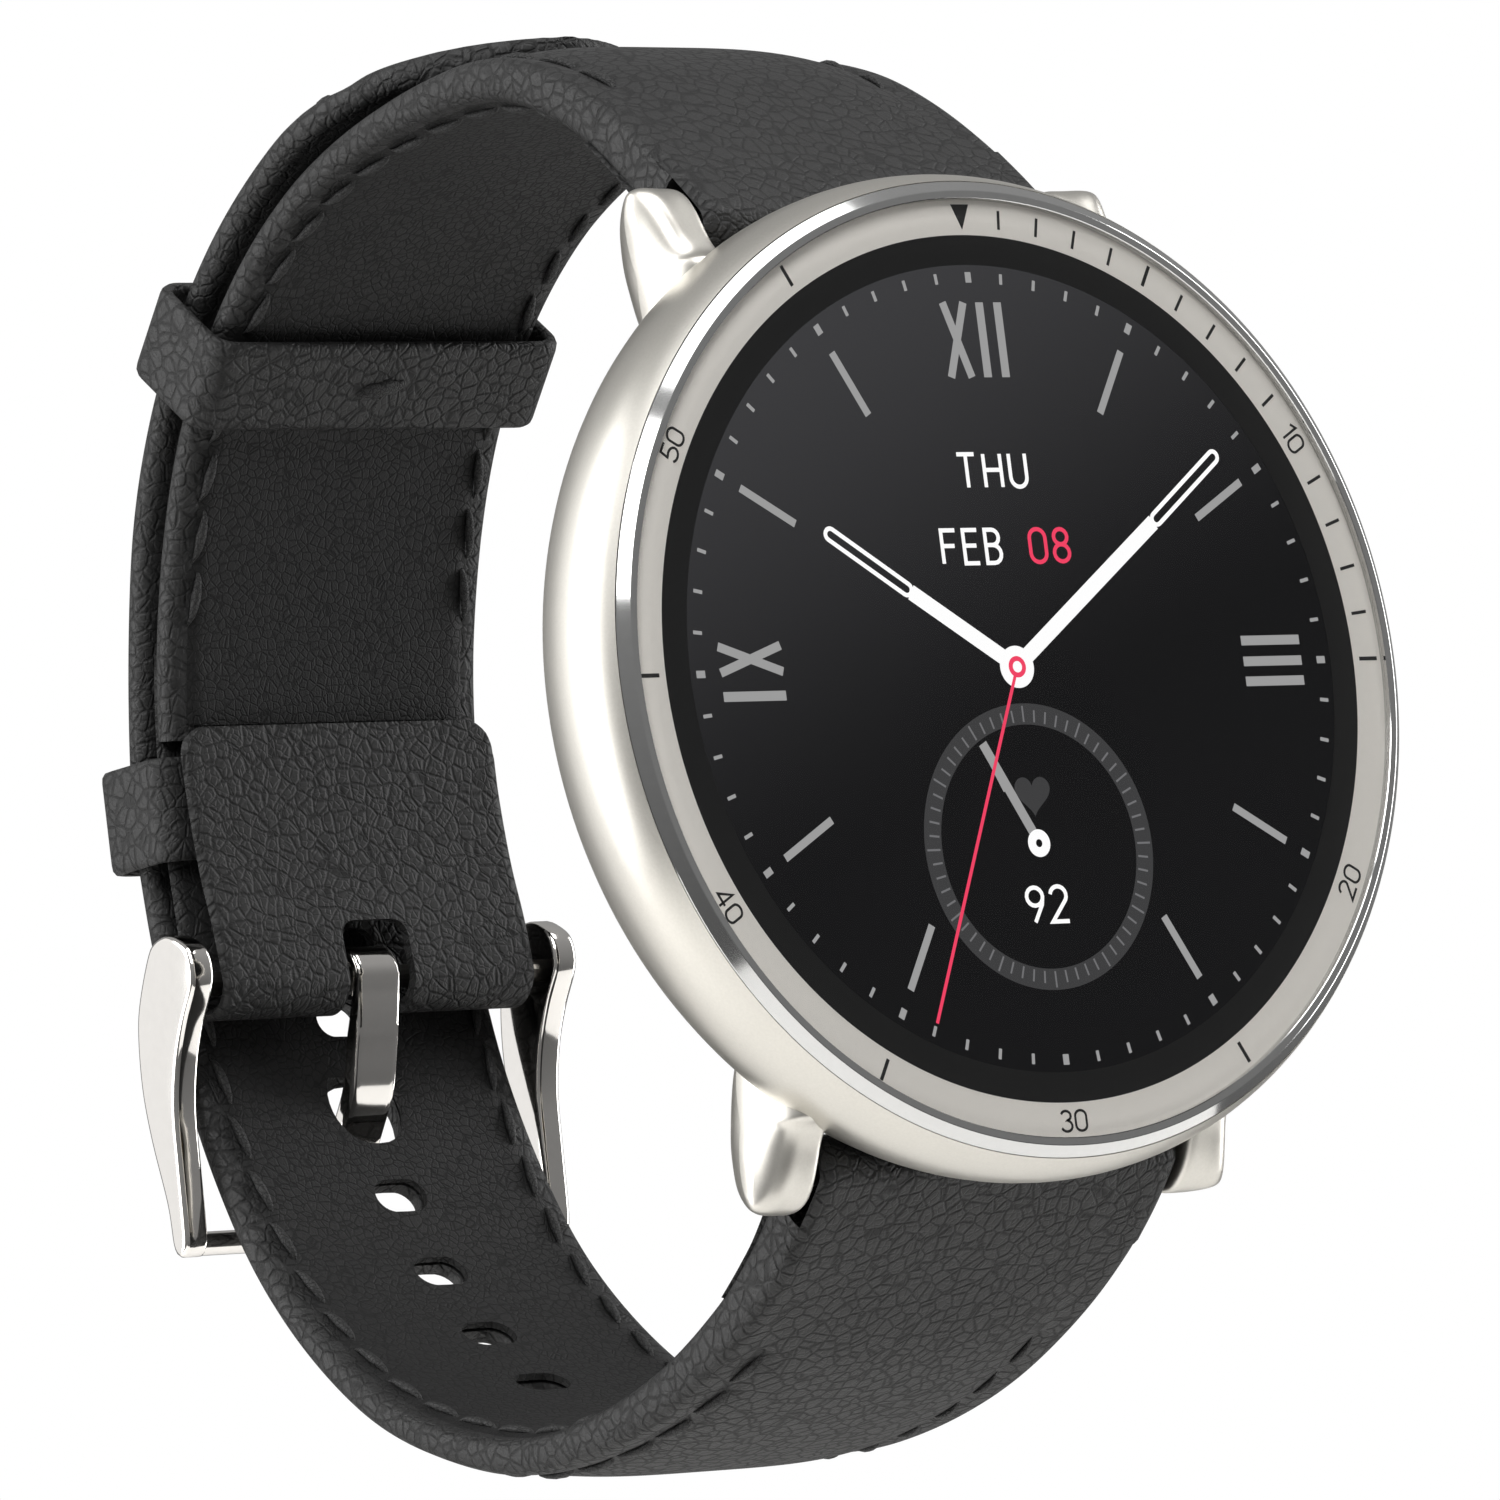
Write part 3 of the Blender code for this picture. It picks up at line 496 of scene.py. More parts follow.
def add_case():
    profile = [(20.9, 2.6), (21.12, 1.2), (21.2, 0.12), (21.25, 0.05)]
    for index in range(9):
        depth = 0.08 + (WAIST_DEPTH - 0.08) * index / 8
        profile.append((bulge(depth), depth))
    profile += arc((FLANK_RADIUS, WAIST_DEPTH), CASE_RADIUS - FLANK_RADIUS, 0, 90, 18)[1:]
    profile += [(15.5, 8.3), (15.3, 8.15), (15.3, 6.7), (13.8, 6.7), (13.8, 6.1)]
    profile += [(17.6, 6.1), (17.6, 3.0), (19.4, 2.9), (20.9, 2.75)]
    shell = lathe(profile, closed=True)
    case = add_piece("case_shell", shell, SATIN, 28, replaces=["case_body"])
    cutters = []
    for up in (1, -1):
        bar = axis_frame(at(-10.05, BAR_DEPTH, up * BAR_HEIGHT), Vector((1, 0, 0)))
        cutters.append(lathe([(0, 0), (1.95, 0), (1.95, 20.1), (0, 20.1)], 64, bar))
    pocket = [(0, 19), (1.6, 19), (1.6, 19.9), (2.05, 19.9), (2.05, 24), (0, 24)]
    for side in BUTTON_ANGLES:
        cutters.append(lathe(pocket, 48, button_frame(side)))
    cut_holes(case, cutters)
    case.data.set_sharp_from_angle(angle=math.radians(28))
    for across in (1, -1):
        for up in (1, -1):
            bm = lug()
            bmesh.ops.scale(bm, vec=(across, 1, up), verts=bm.verts)
            name = ("right" if across > 0 else "left") + ("_upper" if up > 0 else "_lower")
            add_piece(f"lug_{name}", bm, SATIN, 50)


def apply_modifiers(obj):
    graph = bpy.context.evaluated_depsgraph_get()
    mesh = bpy.data.meshes.new_from_object(obj.evaluated_get(graph))
    old = obj.data
    obj.modifiers.clear()
    obj.data = mesh
    bpy.data.meshes.remove(old)


def cut_holes(obj, cutters):
    plugs = bmesh.new()
    for bm in cutters:
        join(plugs, bm)
    bmesh.ops.recalc_face_normals(plugs, faces=plugs.faces)
    mesh = bpy.data.meshes.new("plugs")
    plugs.to_mesh(mesh)
    plugs.free()
    plug = bpy.data.objects.new("plugs", mesh)
    bpy.context.scene.collection.objects.link(plug)
    modifier = obj.modifiers.new("holes", "BOOLEAN")
    modifier.operation = "DIFFERENCE"
    modifier.solver = "EXACT"
    modifier.object = plug
    apply_modifiers(obj)
    bpy.data.objects.remove(plug)


def add_front():
    bezel = [(19.9, 1.7), (20.4, 1.7), (20.4, 0.3), (20.4, -0.36), (20.43, -0.4), (20.72, -0.4)]
    bezel += [(20.76, -0.385), (21.20, 0.0), (21.22, 0.04), (21.2, 0.12), (21.1, 1.2), (20.85, 2.0)]
    bezel += [(19.9, 2.0)]
    bezel_bm = lathe(bezel, closed=True)
    add_piece("bezel_band", bezel_bm, BEZEL, 20, replaces=["bezel_ring"])
    ring_bm = lathe([(RING_INNER, 0.0), (20.41, 0.0), (20.41, 0.5), (RING_INNER, 0.5)], closed=True)
    add_piece("printed_ring", ring_bm, RING, 30, replaces=["minute_track_ring"])
    pane = [(0, 0.02), (RING_INNER, 0.02), (RING_INNER, 1.5), (0, 1.5)]
    add_piece("display_face", lathe(pane), DISPLAY, 30, replaces=["display_panel"])
    border = [(17.55, 0.005), (RING_INNER, 0.005), (RING_INNER, 0.018), (17.55, 0.018)]
    add_piece("display_border", lathe(border, closed=True), BORDER, 30)
    glass = [(0, -0.36), (20.2, -0.36), (20.37, -0.22), (20.37, -0.1), (0, -0.1)]
    add_piece("cover_pane", lathe(glass), GLASS, 20, replaces=["cover_glass"])


# ---------------------------------------------------------------- dial print


def stroke(points, width, depth=0.0, closed=False, thick=0.01):
    """A flat line of even width through (x, y) points on the dial."""
    line = [Vector(point) for point in points]
    count = len(line)
    sides = []
    for index in range(count):
        before = line[index - 1] if (closed or index) else None
        after = line[(index + 1) % count] if (closed or index < count - 1) else None
        ways = []
        if before is not None:
            ways.append((line[index] - before).normalized())
        if after is not None:
            ways.append((after - line[index]).normalized())
        way = sum(ways, Vector((0, 0))).normalized()
        normal = Vector((-way.y, way.x))
        miter = 1 / max(normal.dot(Vector((-ways[0].y, ways[0].x))), 0.4)
        sides.append((line[index] + normal * width / 2 * miter, line[index] - normal * width / 2 * miter))
    if closed:
        sides.append(sides[0])
    bm = bmesh.new()
    rows = [[bm.verts.new(at(p.x, depth, p.y)) for p in pair] for pair in sides]
    for (a, b), (c, d) in zip(rows, rows[1:]):
        bm.faces.new((a, b, d, c))
    bmesh.ops.remove_doubles(bm, verts=bm.verts, dist=1e-7)
    thicken(bm, list(bm.faces), (0, thick * MM, 0))
    return bm


def filled(points, depth=0.0, thick=0.01):
    bm = bmesh.new()
    face = bm.faces.new([bm.verts.new(at(x, depth, y)) for x, y in points])
    thicken(bm, [face], (0, thick * MM, 0))
    return bm


def turned(points, degrees, centre=(0, 0)):
    turn = math.radians(degrees)
    cos, sin = math.cos(turn), math.sin(turn)
    return [(centre[0] + x * cos - y * sin, centre[1] + x * sin + y * cos) for x, y in points]


# Each sign is drawn as strokes in a box 1 high, with its own width
CURVES = {
    "T": (0.62, [[(0, 1), (0.62, 1)], [(0.31, 1), (0.31, 0)]]),
    "H": (0.6, [[(0, 0), (0, 1)], [(0.6, 0), (0.6, 1)], [(0, 0.52), (0.6, 0.52)]]),
    "U": (0.58, [[(0, 1), (0, 0.29)] + arc((0.29, 0.29), 0.29, 180, 360, 10)[1:] + [(0.58, 1)]]),
    "F": (0.5, [[(0.5, 1), (0, 1), (0, 0)], [(0, 0.53), (0.44, 0.53)]]),
    "E": (0.5, [[(0.5, 1), (0, 1), (0, 0), (0.5, 0)], [(0, 0.53), (0.44, 0.53)]]),
    "B": (
        0.52,
        [
            [(0, 0.54), (0.25, 0.54)] + arc((0.25, 0.77), 0.23, -90, 90, 8)[1:] + [(0, 1), (0, 0)]
            + arc((0.25, 0.27), 0.27, -90, 90, 8)
        ],
    ),
    "0": (
        0.54,
        [[(0, 0.27)] + arc((0.27, 0.27), 0.27, 180, 360, 10)[1:] + arc((0.27, 0.73), 0.27, 0, 180, 10)],
    ),
    "1": (0.3, [[(0, 0.8), (0.26, 1), (0.26, 0)]]),
    "2": (0.52, [arc((0.26, 0.74), 0.26, 170, -30, 10) + [(0, 0), (0.54, 0)]]),
    "3": (0.52, [arc((0.25, 0.76), 0.24, 160, -80, 10) + arc((0.25, 0.26), 0.27, 80, -160, 10)]),
    "4": (0.56, [[(0.42, 0), (0.42, 1), (0, 0.28), (0.56, 0.28)]]),
    "5": (0.5, [[(0.48, 1), (0.06, 1), (0.02, 0.54)] + arc((0.24, 0.3), 0.29, 120, -150, 12)]),
    "8": (0.52, [arc((0.26, 0.76), 0.23, -90, 270, 16)[:-1], arc((0.26, 0.27), 0.26, 90, 450, 16)[:-1]]),
    "9": (0.52, [arc((0.26, 0.73), 0.26, 0, 360, 16)[:-1], [(0.52, 0.73), (0.48, 0.5), (0.2, 0)]]),
}
LOOPED = {"0": [0], "8": [0, 1], "9": [0]}


def lettering(target, text, centre, height, width, degrees=0, spread=1.0, gap=0.2, depth=0.0):
    """Draw generic letters and numbers, centred on a point and turned about it."""
    total = sum(CURVES[letter][0] * spread for letter in text) + gap * (len(text) - 1)
    start = -total / 2
    for letter in text:
        wide, lines = CURVES[letter]
        for index, line in enumerate(lines):
            points = [((start + x * spread) * height, (y - 0.5) * height) for x, y in line]
            closed = index in LOOPED.get(letter, [])
            join(target, stroke(turned(points, degrees, centre), width, depth, closed))
        start += wide * spread + gap


def clock_point(radius, hours):
    angle = math.radians(90 - hours * 30)
    return radius * math.cos(angle), radius * math.sin(angle)


def radial_bar(target, hours, inner, outer, width, depth=0.0):
    join(target, stroke([clock_point(inner, hours), clock_point(outer, hours)], width, depth))


def rect(target, left, top, right, bottom):
    join(target, filled([(left, top), (right, top), (right, bottom), (left, bottom)]))


# The printed minute ring: how far its ink stands, where its marks begin, and its numbers
INK_DEPTH = -0.012
MARK_INNER = 19.2
NUMBER_RADIUS = 19.65


def add_ring_print():
    ink = bmesh.new()
    numbers = {2: "10", 4: "20", 6: "30", 8: "40", 10: "50"}
    for minute in range(0, 60):
        hours = minute / 5
        if minute == 0 or hours in numbers:
            continue
        if minute < 15 and minute % 5:
            radial_bar(ink, hours, MARK_INNER, 20.03, 0.14, INK_DEPTH)
        if minute % 5 == 0:
            radial_bar(ink, hours, MARK_INNER, 20.2, 0.17, INK_DEPTH)
    join(ink, filled([(-0.49, 20.2), (0.49, 20.2), (0, 19.1)], INK_DEPTH))
    for hours, text in numbers.items():
        degrees = -hours * 30 + (180 if 3 < hours < 9 else 0)
        centre = clock_point(NUMBER_RADIUS, hours)
        lettering(ink, text, centre, 0.88, 0.11, degrees, 1.25, 0.24, INK_DEPTH)
    add_piece("ring_marks", ink, INK)


def capsule(start, end, radius):
    """The outline of a slot between two points, as (x, y) points."""
    way = (Vector(end) - Vector(start)).normalized()
    heading = math.degrees(math.atan2(way.y, way.x))
    far_end = arc(end, radius, heading - 90, heading + 90, 8)
    return far_end + arc(start, radius, heading + 90, heading + 270, 8)


# The dial is laid out in millimetres across and up from its middle
MINUTE_TRACK = (16.775, 17.234)
HOUR_BAR = (12.721, 15.855)
# The Roman numerals stand between these distances from the middle
NUMERAL_NEAR, NUMERAL_FAR = 12.628, 15.908
NUMERAL_BAR = 0.423
CROSS_LINE = 0.388
LETTER_HEIGHT = 1.446
LETTER_LINE = 0.183
DATE_HEIGHT = 5.256
SUB_DIAL = Vector((0, -7.795))
POINTER_HUB = (0, -7.654)
POINTER_TIP = (-2.399, -3.280)
HEART = (0, -5.503)
HEART_UNIT = 0.06
# Each hand's tip, and the middle of the inner end of its slot
HANDS = (((-9.524, 6.067), (-5.467, 3.457)), ((12.628, 9.242), (8.748, 6.349)))
HAND_HALF = 0.353
HAND_SLOT_LINE = 0.19
SECONDS_TIP = (-6.737, -15.203)


def ring_of(centre, radius, count):
    return arc(centre, radius, 0, 360, count)[:-1]


def add_display_print():
    near, far, bar = NUMERAL_NEAR, NUMERAL_FAR, NUMERAL_BAR
    grey = bmesh.new()
    for minute in range(60):
        radial_bar(grey, minute / 5, *MINUTE_TRACK, 0.159 if minute % 5 else 0.317)
    for hours in (1, 2, 4, 5, 7, 8, 10, 11):
        radial_bar(grey, hours, *HOUR_BAR, 0.353)
    # XII: two bars and a cross, upright at the top
    for left in (0.212, 1.199):
        rect(grey, left, far, left + bar, near)
    for first, last in ((-1.587, -0.459), (-0.459, -1.587)):
        join(grey, stroke([(first, far), (last, near)], CROSS_LINE))
    # IX: a bar and a cross, lying on their side at the left
    left = -15.944
    rect(grey, left, -0.776, -near, -0.776 - bar)
    for first, last in ((1.164, 0.035), (0.035, 1.164)):
        join(grey, stroke([(left, first), (-near, last)], CROSS_LINE))
    # III: three bars, lying on their side at the right
    for top in (1.129, 0.212, -0.670):
        rect(grey, near, top, far, top - bar)
    join(grey, stroke([(-1.411, -5.326), POINTER_TIP], 0.353, -0.004))
    join(grey, stroke([(-0.247, -7.160), POINTER_TIP], 0.459, -0.004))
    add_piece("dial_marks", grey, LIT_GREY)

    dim = bmesh.new()
    join(dim, stroke(ring_of(SUB_DIAL, 5.75, 96), 0.917, 0.004, True, 0.006))
    heart = []
    for index in range(48):
        turn = math.tau * index / 48
        x = 16 * math.sin(turn) ** 3
        y = 13 * math.cos(turn) - 5 * math.cos(2 * turn) - 2 * math.cos(3 * turn) - math.cos(4 * turn)
        heart.append((HEART[0] + x * HEART_UNIT, HEART[1] + y * HEART_UNIT))
    join(dim, filled(heart, 0.004, 0.006))
    add_piece("sub_dial", dim, LIT_DIM)

    ticks = bmesh.new()
    for index in range(60):
        angle = math.radians(index * 6)
        way = Vector((math.cos(angle), math.sin(angle)))
        reach = 5.926 if index % 5 else 6.102
        join(ticks, stroke([SUB_DIAL + way * 5.397, SUB_DIAL + way * reach], 0.088))
    add_piece("sub_dial_ticks", ticks, LIT_TICK)

    white = bmesh.new()
    lettering(white, "THU", (0, 8.554), LETTER_HEIGHT, LETTER_LINE, spread=1.05, gap=0.34)
    lettering(white, "FEB", (-1.658, DATE_HEIGHT), LETTER_HEIGHT, LETTER_LINE, spread=1.05, gap=0.3)
    lettering(white, "92", (0.035, -10.300), 1.517, LETTER_LINE, spread=1.1, gap=0.28)
    for tip, slot_end in HANDS:
        way = -Vector(tip).normalized()
        path = capsule(Vector(tip) + way * HAND_HALF, Vector(slot_end), HAND_HALF - HAND_SLOT_LINE / 2)
        join(white, stroke(path, HAND_SLOT_LINE, -0.006, True))
        blade = [Vector(slot_end) + way * HAND_HALF * 0.7, way * -2 * HAND_HALF]
        join(white, stroke(blade, 2 * HAND_HALF, -0.006))
    join(white, filled(ring_of((0, 0), 0.917, 48), -0.012, 0.02))
    join(white, stroke(ring_of(POINTER_HUB, 0.388, 32), 0.423, -0.012, True))
    add_piece("dial_hands", white, LIT_WHITE)

    red = bmesh.new()
    lettering(red, "08", (2.628, DATE_HEIGHT), LETTER_HEIGHT, LETTER_LINE, spread=1.1, gap=0.3)
    join(red, stroke([(0, 0), SECONDS_TIP], 0.159, -0.018))
    join(red, stroke(ring_of((0, 0), 0.353, 32), 0.229, -0.03, True))
    add_piece("dial_accent", red, LIT_RED)
    dot = bmesh.new()
    join(dot, filled(ring_of((0, 0), 0.247, 32), -0.036, 0.01))
    add_piece("hub_dot", dot, LIT_WHITE)


# ---------------------------------------------------------------- straps

KEEPER_CENTRE = (26.8, 6.2)
KEEPER_ANGLE = math.radians(41.2)
LOOP_RADIUS = 1.5
BUCKLE_BAR = (50.2, -5.6)
USED_HOLE = (52.2, -12.3)
HOLE_PITCH = 4.8
HOLES = range(-4, 4)
STITCH_ROW = 7.6
STITCH_PITCH = 3.0
# Where the padded body starts along its strap, and where the stitched furrow starts along the body
BODY_START = 2.2
FURROW_START = 7.8
LINING_START = 8.0
SHEET = 0.5

BUCKLE_ROUTE = Route(
    [(5.56, 21.5), (8.2, 24.2), (12.0, 27.3), (16.0, 29.65), (20.5, 31.0), (25.6, 31.05)]
    + arc(KEEPER_CENTRE, 24.5, 80, 22, 5)
    + [(51.2, 10.4), (52.0, 6.0), (52.25, 1.5), (52.1, -2.2), (51.9, -5.6)],
    inward=-1,
)
HOLE_ROUTE = Route(
    [(5.56, -21.5), (8.4, -24.15), (12.6, -26.85), (18.1, -29.2), (24.2, -30.5), (30.0, -30.65)]
    + [(35.6, -29.35), (40.7, -27.1), (45.1, -23.7), (48.6, -19.7), (51.0, -15.4), (52.7, -11.0)]
    + [(53.8, -6.4), (54.5, -1.5), (54.6, 3.6)]
    + arc(KEEPER_CENTRE, 27.0, 10, 66, 4)
    + [(32.2, 32.65), (29.0, 33.15), (26.0, 33.3)],
    inward=1,
)
BUCKLE_THICKNESS = table([(0, 3.0), (4, 2.75), (9, 2.35), (15, 2.15), (21, 1.9), (30, 1.6), (36, 1.45)])
HOLE_THICKNESS = table([(0, 3.0), (4, 2.75), (9, 2.35), (15, 2.15), (24, 1.85), (34, 1.6), (48, 1.45)])


def puff(length, x, half):
    """How far the padding lifts the middle of the strap, fading along it and towards its stitched edges."""
    along = smooth_step(length, 2, 9) * (1 - smooth_step(length, 18, 34))
    side = max(0.0, 1 - (abs(x) / (half - 1.9)) ** 4) if abs(x) < half - 1.9 else 0.0
    return 0.55 * along * side


def groove(length, x):
    """The stitched furrow, pressed deeper where each stitch enters the leather."""
    if length < FURROW_START:
        return 0.0
    furrow = math.exp(-(((abs(x) - STITCH_ROW) / 0.34) ** 2))
    phase = ((length - FURROW_START) % STITCH_PITCH) / STITCH_PITCH
    nip = 1.0 - min(phase, 1 - phase) * 2.0
    return furrow * (0.10 + 0.10 * nip**3)


def strap_body(route, thickness, half_width, stations, holes=()):
    """A full-depth leather body along a route, with rounded edges and dents round its holes."""

    def place(u, v):
        length = route.length * u
        half = half_width(length)
        deep = thickness(length)
        x, depth = rounded_box_point(v, half, 0.0, deep, 0.62)
        outer = smooth_step(-(depth - deep / 2), -deep * 0.2, deep * 0.35)
        shift = -puff(length, x, half) * outer + groove(length, x) * outer
        for hole_length, reach in holes:
            away = math.hypot(x / 1.5, length - hole_length)
            side = 1 if depth > deep / 2 else -1
            shift += side * -0.42 * math.exp(-((away / reach) ** 2))
        return at(x, *route.offset(length, depth + shift))

    return skin(stations, 112, place)


def stitches(route, face, start, end, side=1):
    """Rows of waxed thread stitches, each a short twisted pod that dips into the leather at both ends."""
    bm = bmesh.new()
    radius = 0.26 * MM
    for row in (-1, 1):
        for index in range(int((end - start) / STITCH_PITCH)):
            middle = start + STITCH_PITCH * (index + 0.5)
            pod = bmesh.new()
            bmesh.ops.create_cone(pod, cap_ends=True, segments=8, radius1=radius, radius2=radius, depth=MM)
            sides = [e for e in pod.edges if abs(e.verts[0].co.z - e.verts[1].co.z) > 1e-6]
            bmesh.ops.subdivide_edges(pod, edges=sides, cuts=5)
            for vert in pod.verts:
                part = vert.co.z / MM
                squeeze = max(0.15, 1 - (2 * abs(part)) ** 3) * (0.9 + 0.1 * math.cos(part * 26))
                length = middle + part * STITCH_PITCH * 0.92
                across = row * STITCH_ROW + vert.co.x / MM * squeeze + row * part * 0.35
                sunk = 0.3 * (2 * abs(part)) ** 4 - 0.14
                depth = face(length, across) + side * (sunk - vert.co.y / MM * side * squeeze * 0.8)
                vert.co = at(across, *route.offset(length, depth))
            join(bm, pod)
    return bm


def nearest_length(route, target):
    best = min(range(len(route.points)), key=lambda index: (route.points[index] - Vector(target)).length)
    return route.lengths[best]


def under_line(route, first, last, steps, depth):
    """The line that runs at a depth under a route from one length to another, as its own route."""
    places = [first + (last - first) * index / steps for index in range(steps + 1)]
    return Route([route.offset(place, depth(place)) for place in places], inward=route.inward)


def sheet_body(route, half_width, thick, stations, around=72):
    """A thin leather sheet along a route, with rounded edges."""

    def place(u, v):
        length = route.length * u
        x, depth = rounded_box_point(v, half_width(length), 0.0, thick, thick * 0.45)
        return at(x, *route.offset(length, depth))

    return skin(stations, around, place)


def oval(width, length, height, matrix):
    bm = bmesh.new()
    bmesh.ops.create_cone(
        bm, cap_ends=True, segments=32, radius1=length * MM / 2, radius2=length * MM / 2, depth=height * MM
    )
    for vert in bm.verts:
        if abs(vert.co.x) > 1e-6:
            vert.co.x += math.copysign((width - length) * MM / 2, vert.co.x)
    bmesh.ops.transform(bm, matrix=matrix, verts=bm.verts)
    return bm


TONGUE_MIDDLE = [(49.45, -7.2), (49.95, -8.6), (50.4, -10.0), (50.75, -10.8), (51.25, -11.55), (51.9, -12.4)]
TONGUE_MIDDLE += [(52.5, -13.25), (52.95, -14.3), (53.1, -15.7), (53.0, -18.1)]


def hole_plugs(route):
    """Oval plugs through the strap; the used hole's plug follows the tongue through it."""
    used = nearest_length(route, USED_HOLE)
    side = Vector((1, 0, 0))
    plugs = []
    for index in HOLES:
        point, across = route.place(used + index * HOLE_PITCH)
        direction = Vector((0, across.x, across.y))
        wide, length = 2.8, 1.8
        middle = point + across * 0.7
        if index == 0:
            direction = Vector((0, *(Vector(TONGUE_MIDDLE[6]) - Vector(TONGUE_MIDDLE[4])))).normalized()
            middle = Vector(TONGUE_MIDDLE[5])
            wide, length = 3.2, 3.6
        turn = Matrix((side, direction.cross(side), direction)).transposed().to_4x4()
        plugs.append(oval(wide, length, 4.4, Matrix.Translation(at(0, *middle)) @ turn))
    return plugs


def add_fold(side, route, thickness):
    """The return flap, the turn about the spring bar, and the start of the strap's front."""
    way = route.inward
    flap = [route.offset(length, thickness(length)) for length in (8.8, 6.6, 4.4)]
    turn = arc((BAR_DEPTH, -way * BAR_HEIGHT), LOOP_RADIUS, way * 50, way * 215, 7)
    line = Route(flap + turn + [route.offset(length, 0) for length in (2.0, 4.0)], inward=way)
    width = table([(0, 9.6), (6, 9.8), (40, 9.7)])
    add_piece(f"{side}_strap_fold", sheet_body(line, width, SHEET, 60), CALF, 50)


def add_outer(side, route, thickness, width, last, steps, stations, dents=()):
    """The padded leather body of a strap."""
    body = under_line(route, BODY_START, last, steps, lambda length: 0)
    bm = strap_body(
        body,
        lambda length: thickness(length + BODY_START) - 0.12,
        lambda length: width(length + BODY_START),
        stations,
        dents,
    )
    hidden = [f"{side}_strap_outer", f"{side}_strap_padding"]
    return add_piece(f"{side}_strap_leather", bm, CALF, 50, replaces=hidden)


def add_outer_stitches(side, route, width, last):
    def face(length, x):
        place = length - BODY_START
        return groove(place, x) - puff(place, x, width(length))

    threads = stitches(route, face, 10.0, last)
    add_piece(f"{side}_strap_stitches", threads, THREAD, 60)


def add_lining(side, route, thickness, width, last, steps, stations, stitch_end):
    """The lining, a little narrower than its strap, and the stitches that show on it."""
    line = under_line(route, LINING_START, last, steps, lambda length: thickness(length) - 0.3)
    ratio = (last - LINING_START) / line.length
    half_width = lambda length: width(length * ratio + LINING_START) - 1.05
    sheet = sheet_body(line, half_width, 0.34, stations, 64)
    hidden = [f"{side}_strap_lining"]
    piece = add_piece(
        f"{side}_strap_lining_leather", sheet, LINING, 50, replaces=hidden
    )
    threads = stitches(route, lambda length, x: thickness(length) + 0.04, 13.0, stitch_end, side=-1)
    add_piece(f"{side}_lining_stitches", threads, THREAD, 60)
    return piece


def add_hole_strap():
    route, thickness = HOLE_ROUTE, HOLE_THICKNESS
    end = route.length
    width = table(
        [(0, 9.8), (60, 8.9), (end - 11, 8.75), (end - 9.5, 8.65), (end - 8, 8.4), (end - 6, 7.7)]
        + [(end - 4, 6.6), (end - 2.8, 5.7), (end - 2, 4.9), (end - 1.3, 4.0), (end - 0.7, 2.9)]
        + [(end - 0.3, 1.9), (end, 0.8)]
    )
    used = nearest_length(route, USED_HOLE)
    dents = [(used + index * HOLE_PITCH - BODY_START, 2.1) for index in HOLES]
    add_fold("hole", route, thickness)
    outer = add_outer("hole", route, thickness, width, end, 70, 420, dents)
    cut_holes(outer, hole_plugs(route))
    add_outer_stitches("hole", route, width, end - 5.0)
    lining = add_lining("hole", route, thickness, width, end - 2.5, 70, 360, end - 34.0)
    cut_holes(lining, hole_plugs(route))


def add_buckle_strap():
    route, thickness = BUCKLE_ROUTE, BUCKLE_THICKNESS
    end = route.length
    width = table([(0, 9.8), (32, 8.9), (80, 8.75)])
    stop = end - 11.5
    add_fold("buckle", route, thickness)
    # The flap: from the strap's end round the buckle bar and back inside the strap
    flap_line = [(48.8, -3.2), (49.3, -0.6), (49.6, 2.4), (49.75, 6.2)]
    tail = [route.offset(stop - 4 + (end - stop + 4) * index / 10, 0) for index in range(11)]
    wrap = Route(tail[:-1] + arc(BUCKLE_BAR, 1.7, -20, -180, 9) + flap_line, inward=-1)
    tip = wrap.length
    flap_width = table([(0, 8.8), (tip - 1.2, 8.8), (tip - 0.7, 8.65), (tip - 0.3, 8.3), (tip, 7.7)])
    sheet = sheet_body(wrap, flap_width, SHEET, 150, 96)
    flap = add_piece("buckle_strap_flap", sheet, CALF, 50)
    add_outer("buckle", route, thickness, width, stop, 60, 300)
    notch = bmesh.new()
    bmesh.ops.create_cube(notch, size=1.0)
    bmesh.ops.scale(notch, vec=(3.7 * MM, 6.5 * MM, 5.9 * MM), verts=notch.verts)
    bmesh.ops.translate(notch, vec=at(0, 50.25, -6.05), verts=notch.verts)
    corners = [e for e in notch.edges if abs(e.verts[0].co.y - e.verts[1].co.y) > 1e-4]
    round_edges(notch, corners, 0.8, 5)
    cut_holes(flap, [notch])
    add_outer_stitches("buckle", route, width, end - 14.0)
    add_lining("buckle", route, thickness, width, end - 12.2, 60, 300, end - 14.0)


def keeper_point(x, reach, along):
    """A place on the sliding keeper: out from the centre of the strap's arc, and along the strap."""
    cos, sin = math.cos(KEEPER_ANGLE), math.sin(KEEPER_ANGLE)
    return at(x, KEEPER_CENTRE[0] + reach * cos - along * sin, KEEPER_CENTRE[1] + reach * sin + along * cos)


def band(outer, inner, section, put):
    """A closed loop: its outer and inner rounded rectangles, and the rounded section between them."""

    def place(u, v):
        x, depth = rounded_box_point(u, *outer)
        inner_x, inner_depth = rounded_box_point(u, *inner)
        along, part = rounded_box_point(v, *section)
        return put(x + (inner_x - x) * part, depth + (inner_depth - depth) * part, along)

    return skin(160, 40, place, cap=False)


